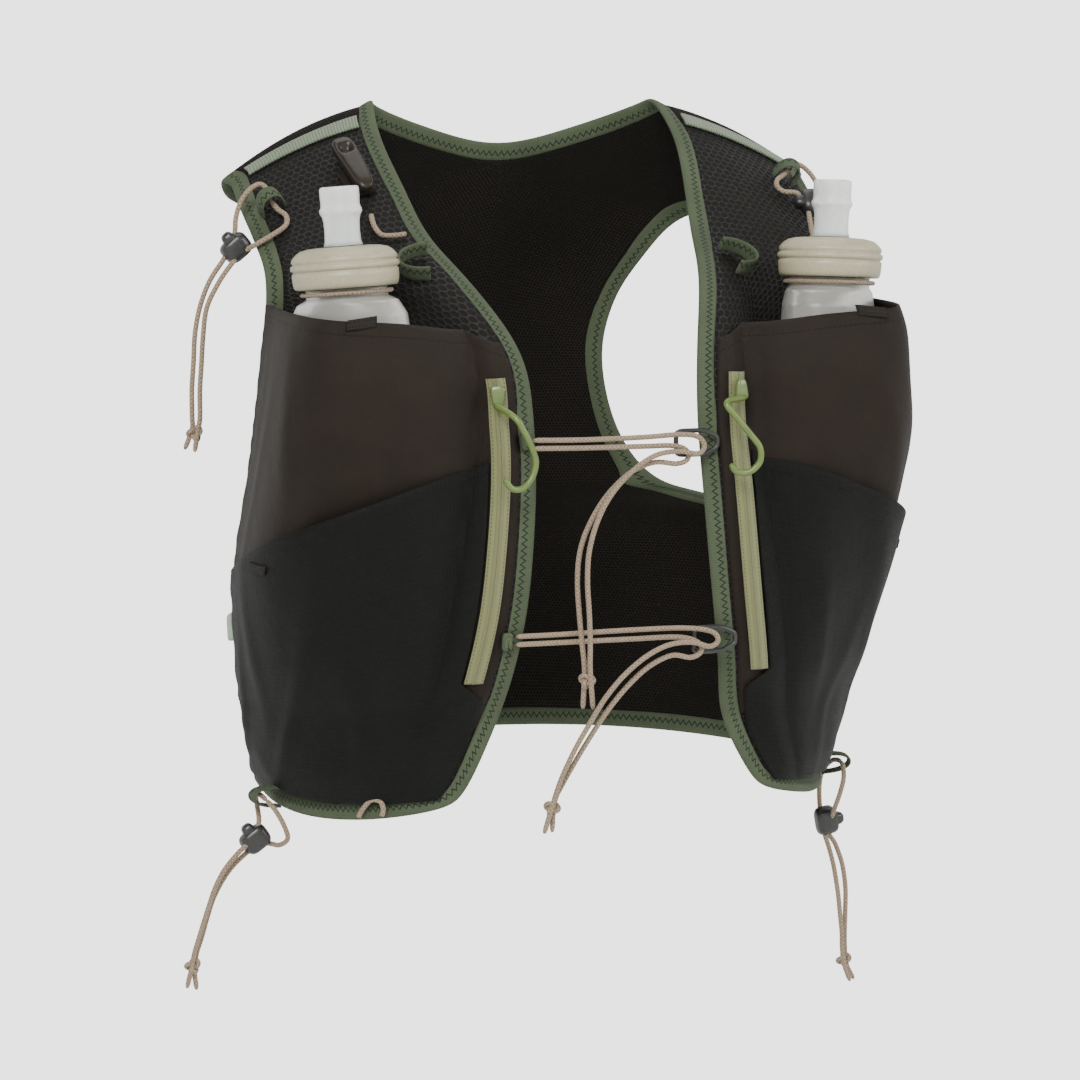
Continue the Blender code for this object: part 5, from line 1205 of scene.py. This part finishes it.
def cord_piece(name, path, node):
    """A cord along its path, with rounded ends."""
    points, uv = tube(path, rounded_ends(len(path), CORD_DIAMETER / 2))
    return piece(name, points, uv, TUBE, braided_cord, "elastic_cord", node)


def cord_strand(name, route, node):
    """One strand of a cord, laid from its first point to its end past the knot."""
    path = smooth_route(route, 1.1 * MM)
    strand = cord_piece(name, path, node)


def lean_frame(lean, place):
    """A matrix with x along lean, and y towards the back."""
    lean = unit(np.array(lean, float))
    across = unit(np.cross(lean, [0.0, 1.0, 0.0]))
    matrix = np.eye(4)
    matrix[:3, 0], matrix[:3, 1], matrix[:3, 2] = lean, np.cross(across, lean), across
    matrix[:3, 3] = np.array(place) * MM
    return matrix


for name, parts in ADJUSTERS.items():
    node = f"adjuster_cord_{name}"
    knot = overhand_knot(f"knot_{name}", parts["knot"], 0.4, node)
    middle = len(parts["loop"]) // 2
    first = parts["loop"][:middle + 1][::-1] + parts["first_end"][::-1]
    second = parts["loop"][middle:] + parts["second_end"]
    cord_strand(f"strand_a_{name}", first, node)
    cord_strand(f"strand_b_{name}", second, node)
    matrix = lean_frame(parts["lean"], parts["lock"])
    points, uv = moulding(LOCK_SIZE, 3.6, matrix, taper=0.12)
    piece(f"lock_body_{name}", points, uv, TUBE, black_plastic, "hard_black", f"cord_lock_{name}")
    matrix[:3, 3] += matrix[:3, 2] * BUTTON_RISE
    points, uv = moulding(BUTTON_SIZE, 3.0, matrix)
    piece(f"lock_button_{name}", points, uv, TUBE, black_plastic, "hard_black", f"cord_lock_{name}")

# The sternum cords: from an anchor on the wearer's right binding two strands cross the chest to a black wire
# hook on the other side, turn back round it and hang down to a knot.
STERNUM = {
    "upper": {
        "strands": (
            [(-45.5, -114.5, -162.5), (-20, -115, -163), (10, -117, -162.5), (30, -119.2, -161.5),
             (39, -119.8, -163), (42, -120.5, -167.5), (38, -122, -171), (28, -122.3, -169.5), (16, -122.3, -171),
             (4, -122.3, -178), (-7, -122.3, -189), (-14.5, -122.3, -202), (-19, -122.3, -217), (-20, -122.3, -232),
             (-19, -122.3, -249), (-18.5, -122.3, -264), (-18.5, -122.3, -277), (-17, -122.3, -296)],
            [(-45.5, -114.5, -166.5), (-20, -115, -167), (10, -117, -167), (26, -119.2, -167), (33, -119.4, -169.5),
             (33.5, -119.2, -174), (28, -118.8, -176), (16, -118.8, -175), (3, -118.8, -180), (-9, -118.8, -191),
             (-17.5, -118.8, -204), (-22.5, -118.8, -217), (-24, -118.8, -232), (-23, -118.8, -249),
             (-21.5, -118.8, -264), (-20.5, -119.5, -277), (-21.5, -120, -296)],
        ),
        "knot": (-19.7, -120.5, -282),
        "hook": (39.5, -116.4, -166),
        "anchor": (0.03, 6.22),
    },
    "lower": {
        "strands": (
            [(-55.5, -118.5, -258.5), (-35, -115.5, -259), (6, -115.5, -258.5), (32, -121, -258), (45, -124, -260),
             (48, -125, -264.5), (43, -126.3, -267), (34, -126.6, -264.5), (22, -126.6, -265), (10, -126.6, -270),
             (-2, -126.6, -279), (-12, -126.6, -290), (-20, -126.6, -302), (-28, -126.6, -315),
             (-35, -126.6, -329), (-39, -126.6, -340), (-44, -126.6, -356)],
            [(-55.5, -118.5, -262.5), (-35, -115.5, -263), (6, -115.5, -263), (29, -120.5, -262.5),
             (38.5, -123.3, -265.5), (39.5, -123.3, -270), (34, -123.3, -272.5), (24, -123.3, -271),
             (12, -123.3, -276), (1, -123.3, -285), (-9, -123.3, -296), (-17, -123.3, -307), (-25, -123.3, -319),
             (-33, -123.3, -332), (-37.5, -123.5, -341), (-39, -124, -356)],
        ),
        "knot": (-39.5, -125, -344),
        "hook": (48.5, -119, -264.5),
        "anchor": (0.03, 8.52),
    },
}
HOOK_LENGTH = 22 * MM
HOOK_HEIGHT = 12 * MM
HOOK_WIRE = 2.4 * MM
ANCHOR_SIZE = (5 * MM, 9 * MM, 3.4 * MM)
for level, parts in STERNUM.items():
    node = f"sternum_cord_{level}"
    knot = overhand_knot(f"knot_{level}", parts["knot"], -0.3, node)
    for letter, route in zip("ab", parts["strands"]):
        cord_strand(f"strand_{letter}_{level}", route, node)
    hook = np.array(parts["hook"])
    half, tall = HOOK_LENGTH / MM / 2, HOOK_HEIGHT / MM / 2
    outline = np.array([(-half, -tall * 0.8), (-half, tall * 0.8), (-half * 0.8, tall), (half * 0.35, tall),
                        (half, tall * 0.45), (half, -tall * 0.45), (half * 0.35, -tall), (-half * 0.8, -tall)])
    outline = np.vstack([outline, outline[:1]])
    fine = np.linspace(0, 8, 97)[:-1]
    ring = softened(np.stack([np.interp(fine, np.arange(9), outline[:, k]) for k in (0, 1)], 1), True, 10)
    path = np.stack([ring[:, 0], 0 * fine, ring[:, 1]], 1) * MM + hook * MM
    points, uv = tube(path, HOOK_WIRE / 2, 14, True)
    piece(f"wire_hook_{level}", points, uv, RING, black_plastic, "hard_black", f"sternum_hook_{level}")
    stand = BINDING_WALL / 2 + CLEARANCE + ANCHOR_SIZE[2] / 2
    points, uv = moulding(ANCHOR_SIZE, 5, frame_at(front, *parts["anchor"], SIDES[0][1], stand))
    piece(f"anchor_tab_{level}", points, uv, TUBE, tape_cloth, "sage_binding", f"cord_anchor_{level}")

# The whistle on the wearer's right shoulder: a moulded bar in a brown holder, tied to the binding by a short
# cord. The short cord loop on the same side's hem is sewn in with the binding.
WHISTLE_SIZE = (11 * MM, 38 * MM, 7 * MM)
WHISTLE_PLACE = (0.285, 1.5)
WHISTLE_GAP = 1.4 * MM
HOLDER_SIZE = (15 * MM, 18 * MM, 1.4 * MM)
HOLDER_PLACE = (0.29, 1.75)
MOUTH_HALF = (3.2 * MM, 2.6 * MM)
MOUTH_WAY = 10 * MM
MOUTH_DEPTH = 3.4 * MM
WHISTLE_BASE = PANEL_WALL / 2 + CLEARANCE + 0.8 * MM
whistle_plastic = grained("whistle_plastic", 0.36, 260.0, 2.0, (32, 27, 22), (46, 40, 33), 0.08 * MM,
                          specular_ior_level=0.25, coat_weight=0.08)
place = frame_at(front, *HOLDER_PLACE, SIDES[0][1], WHISTLE_BASE + HOLDER_SIZE[2] / 2)
points, uv = moulding(HOLDER_SIZE, 8, place)
piece("whistle_sleeve", points, uv, TUBE, nylon_cloth, "flask_pocket_cloth", "whistle_holder")
whistle_stand = WHISTLE_BASE + HOLDER_SIZE[2] + WHISTLE_GAP + WHISTLE_SIZE[2] / 2
place = frame_at(front, *WHISTLE_PLACE, SIDES[0][1], whistle_stand)
points, uv = moulding(WHISTLE_SIZE, 4, place, 64, 41, -0.16)
local = (points - place[:3, 3]) @ place[:3, :3]
mouth = np.exp(-((local[..., 0] / MOUTH_HALF[0]) ** 4) - (((local[..., 1] + MOUTH_WAY) / MOUTH_HALF[1]) ** 4))
mouth = mouth * np.clip(local[..., 2] / (2 * MM), 0, 1)
points = points - place[:3, 2] * (mouth * MOUTH_DEPTH)[..., None]
piece("whistle_bar", points, uv, TUBE, whistle_plastic, "whistle", "whistle")
LAID_CORDS = (
    # piece, node, stand in millimetres, route in shares of a row and row numbers
    ("whistle_tie", "whistle_cord", 3.2, [(0.30, 2.50), (0.31, 2.75), (0.29, 2.95), (0.22, 3.0), (0.15, 3.0)]),
    ("hem_loop_cord", "hem_cord_loop", 4.2, [(0.20, 11.95), (0.205, 11.75), (0.225, 11.52), (0.25, 11.45),
                                             (0.275, 11.52), (0.29, 11.75), (0.295, 11.95)]),
)
for name, node, stand, route in LAID_CORDS:
    fine = spline(np.array(route), np.linspace(0, len(route) - 1, 24 * len(route)))
    rise = outward(front, fine[:, 0], fine[:, 1]) * (stand * MM)
    cord_piece(name, (front(fine[:, 0], fine[:, 1]) + rise) * SIDES[0][1], node)

# The side straps: a short sage strap below each armhole with a pale moulded buckle, on the back's outer face.
STRAP_SHARES = np.linspace(0.80, 0.985, 41)
STRAP_ROWS = (11.37, 11.62)
STRAP_WALL = 1.4 * MM
STRAP_RISE = BINDING_WALL / 2 + CLEARANCE + WEBBING_WALL / 2 + 0.8 * MM
BUCKLE_SIZE = (12 * MM, 14 * MM, 4 * MM)
pale_buckle = grained("pale_buckle", 0.45, 300.0, 2.0, (138, 153, 133), (162, 176, 156), 0.08 * MM,
                      coat_weight=0.15)
strap_lines = []
for v in STRAP_ROWS:
    rows = v + 0 * STRAP_SHARES
    strap_lines.append(back(STRAP_SHARES, rows) - outward(back, STRAP_SHARES, rows) * STRAP_RISE)
buckle_u, buckle_v = np.array([0.93]), np.array([11.5])
for name, mirror in SIDES:
    points, uv = folded_tape(strap_lines[0] * mirror, strap_lines[1] * mirror, STRAP_WALL)
    piece(f"side_webbing_{name}", points, uv, TUBE, tape_cloth, "sage_binding", f"side_strap_{name}")
    normal = -outward(back, buckle_u, buckle_v)[0] * mirror
    way = unit(back(buckle_u + 0.01, buckle_v) - back(buckle_u - 0.01, buckle_v))[0] * mirror
    matrix = np.eye(4)
    matrix[:3, 0], matrix[:3, 1], matrix[:3, 2] = way, np.cross(normal, way), normal
    matrix[:3, 3] = back(buckle_u, buckle_v)[0] * mirror + normal * (
        STRAP_RISE + WEBBING_WALL / 2 + CLEARANCE + 0.5 * MM + BUCKLE_SIZE[2] / 2)
    points, uv = moulding(BUCKLE_SIZE, 6, matrix)
    piece(f"moulded_buckle_{name}", points, uv, TUBE, pale_buckle, "side_buckle", f"side_buckle_{name}")
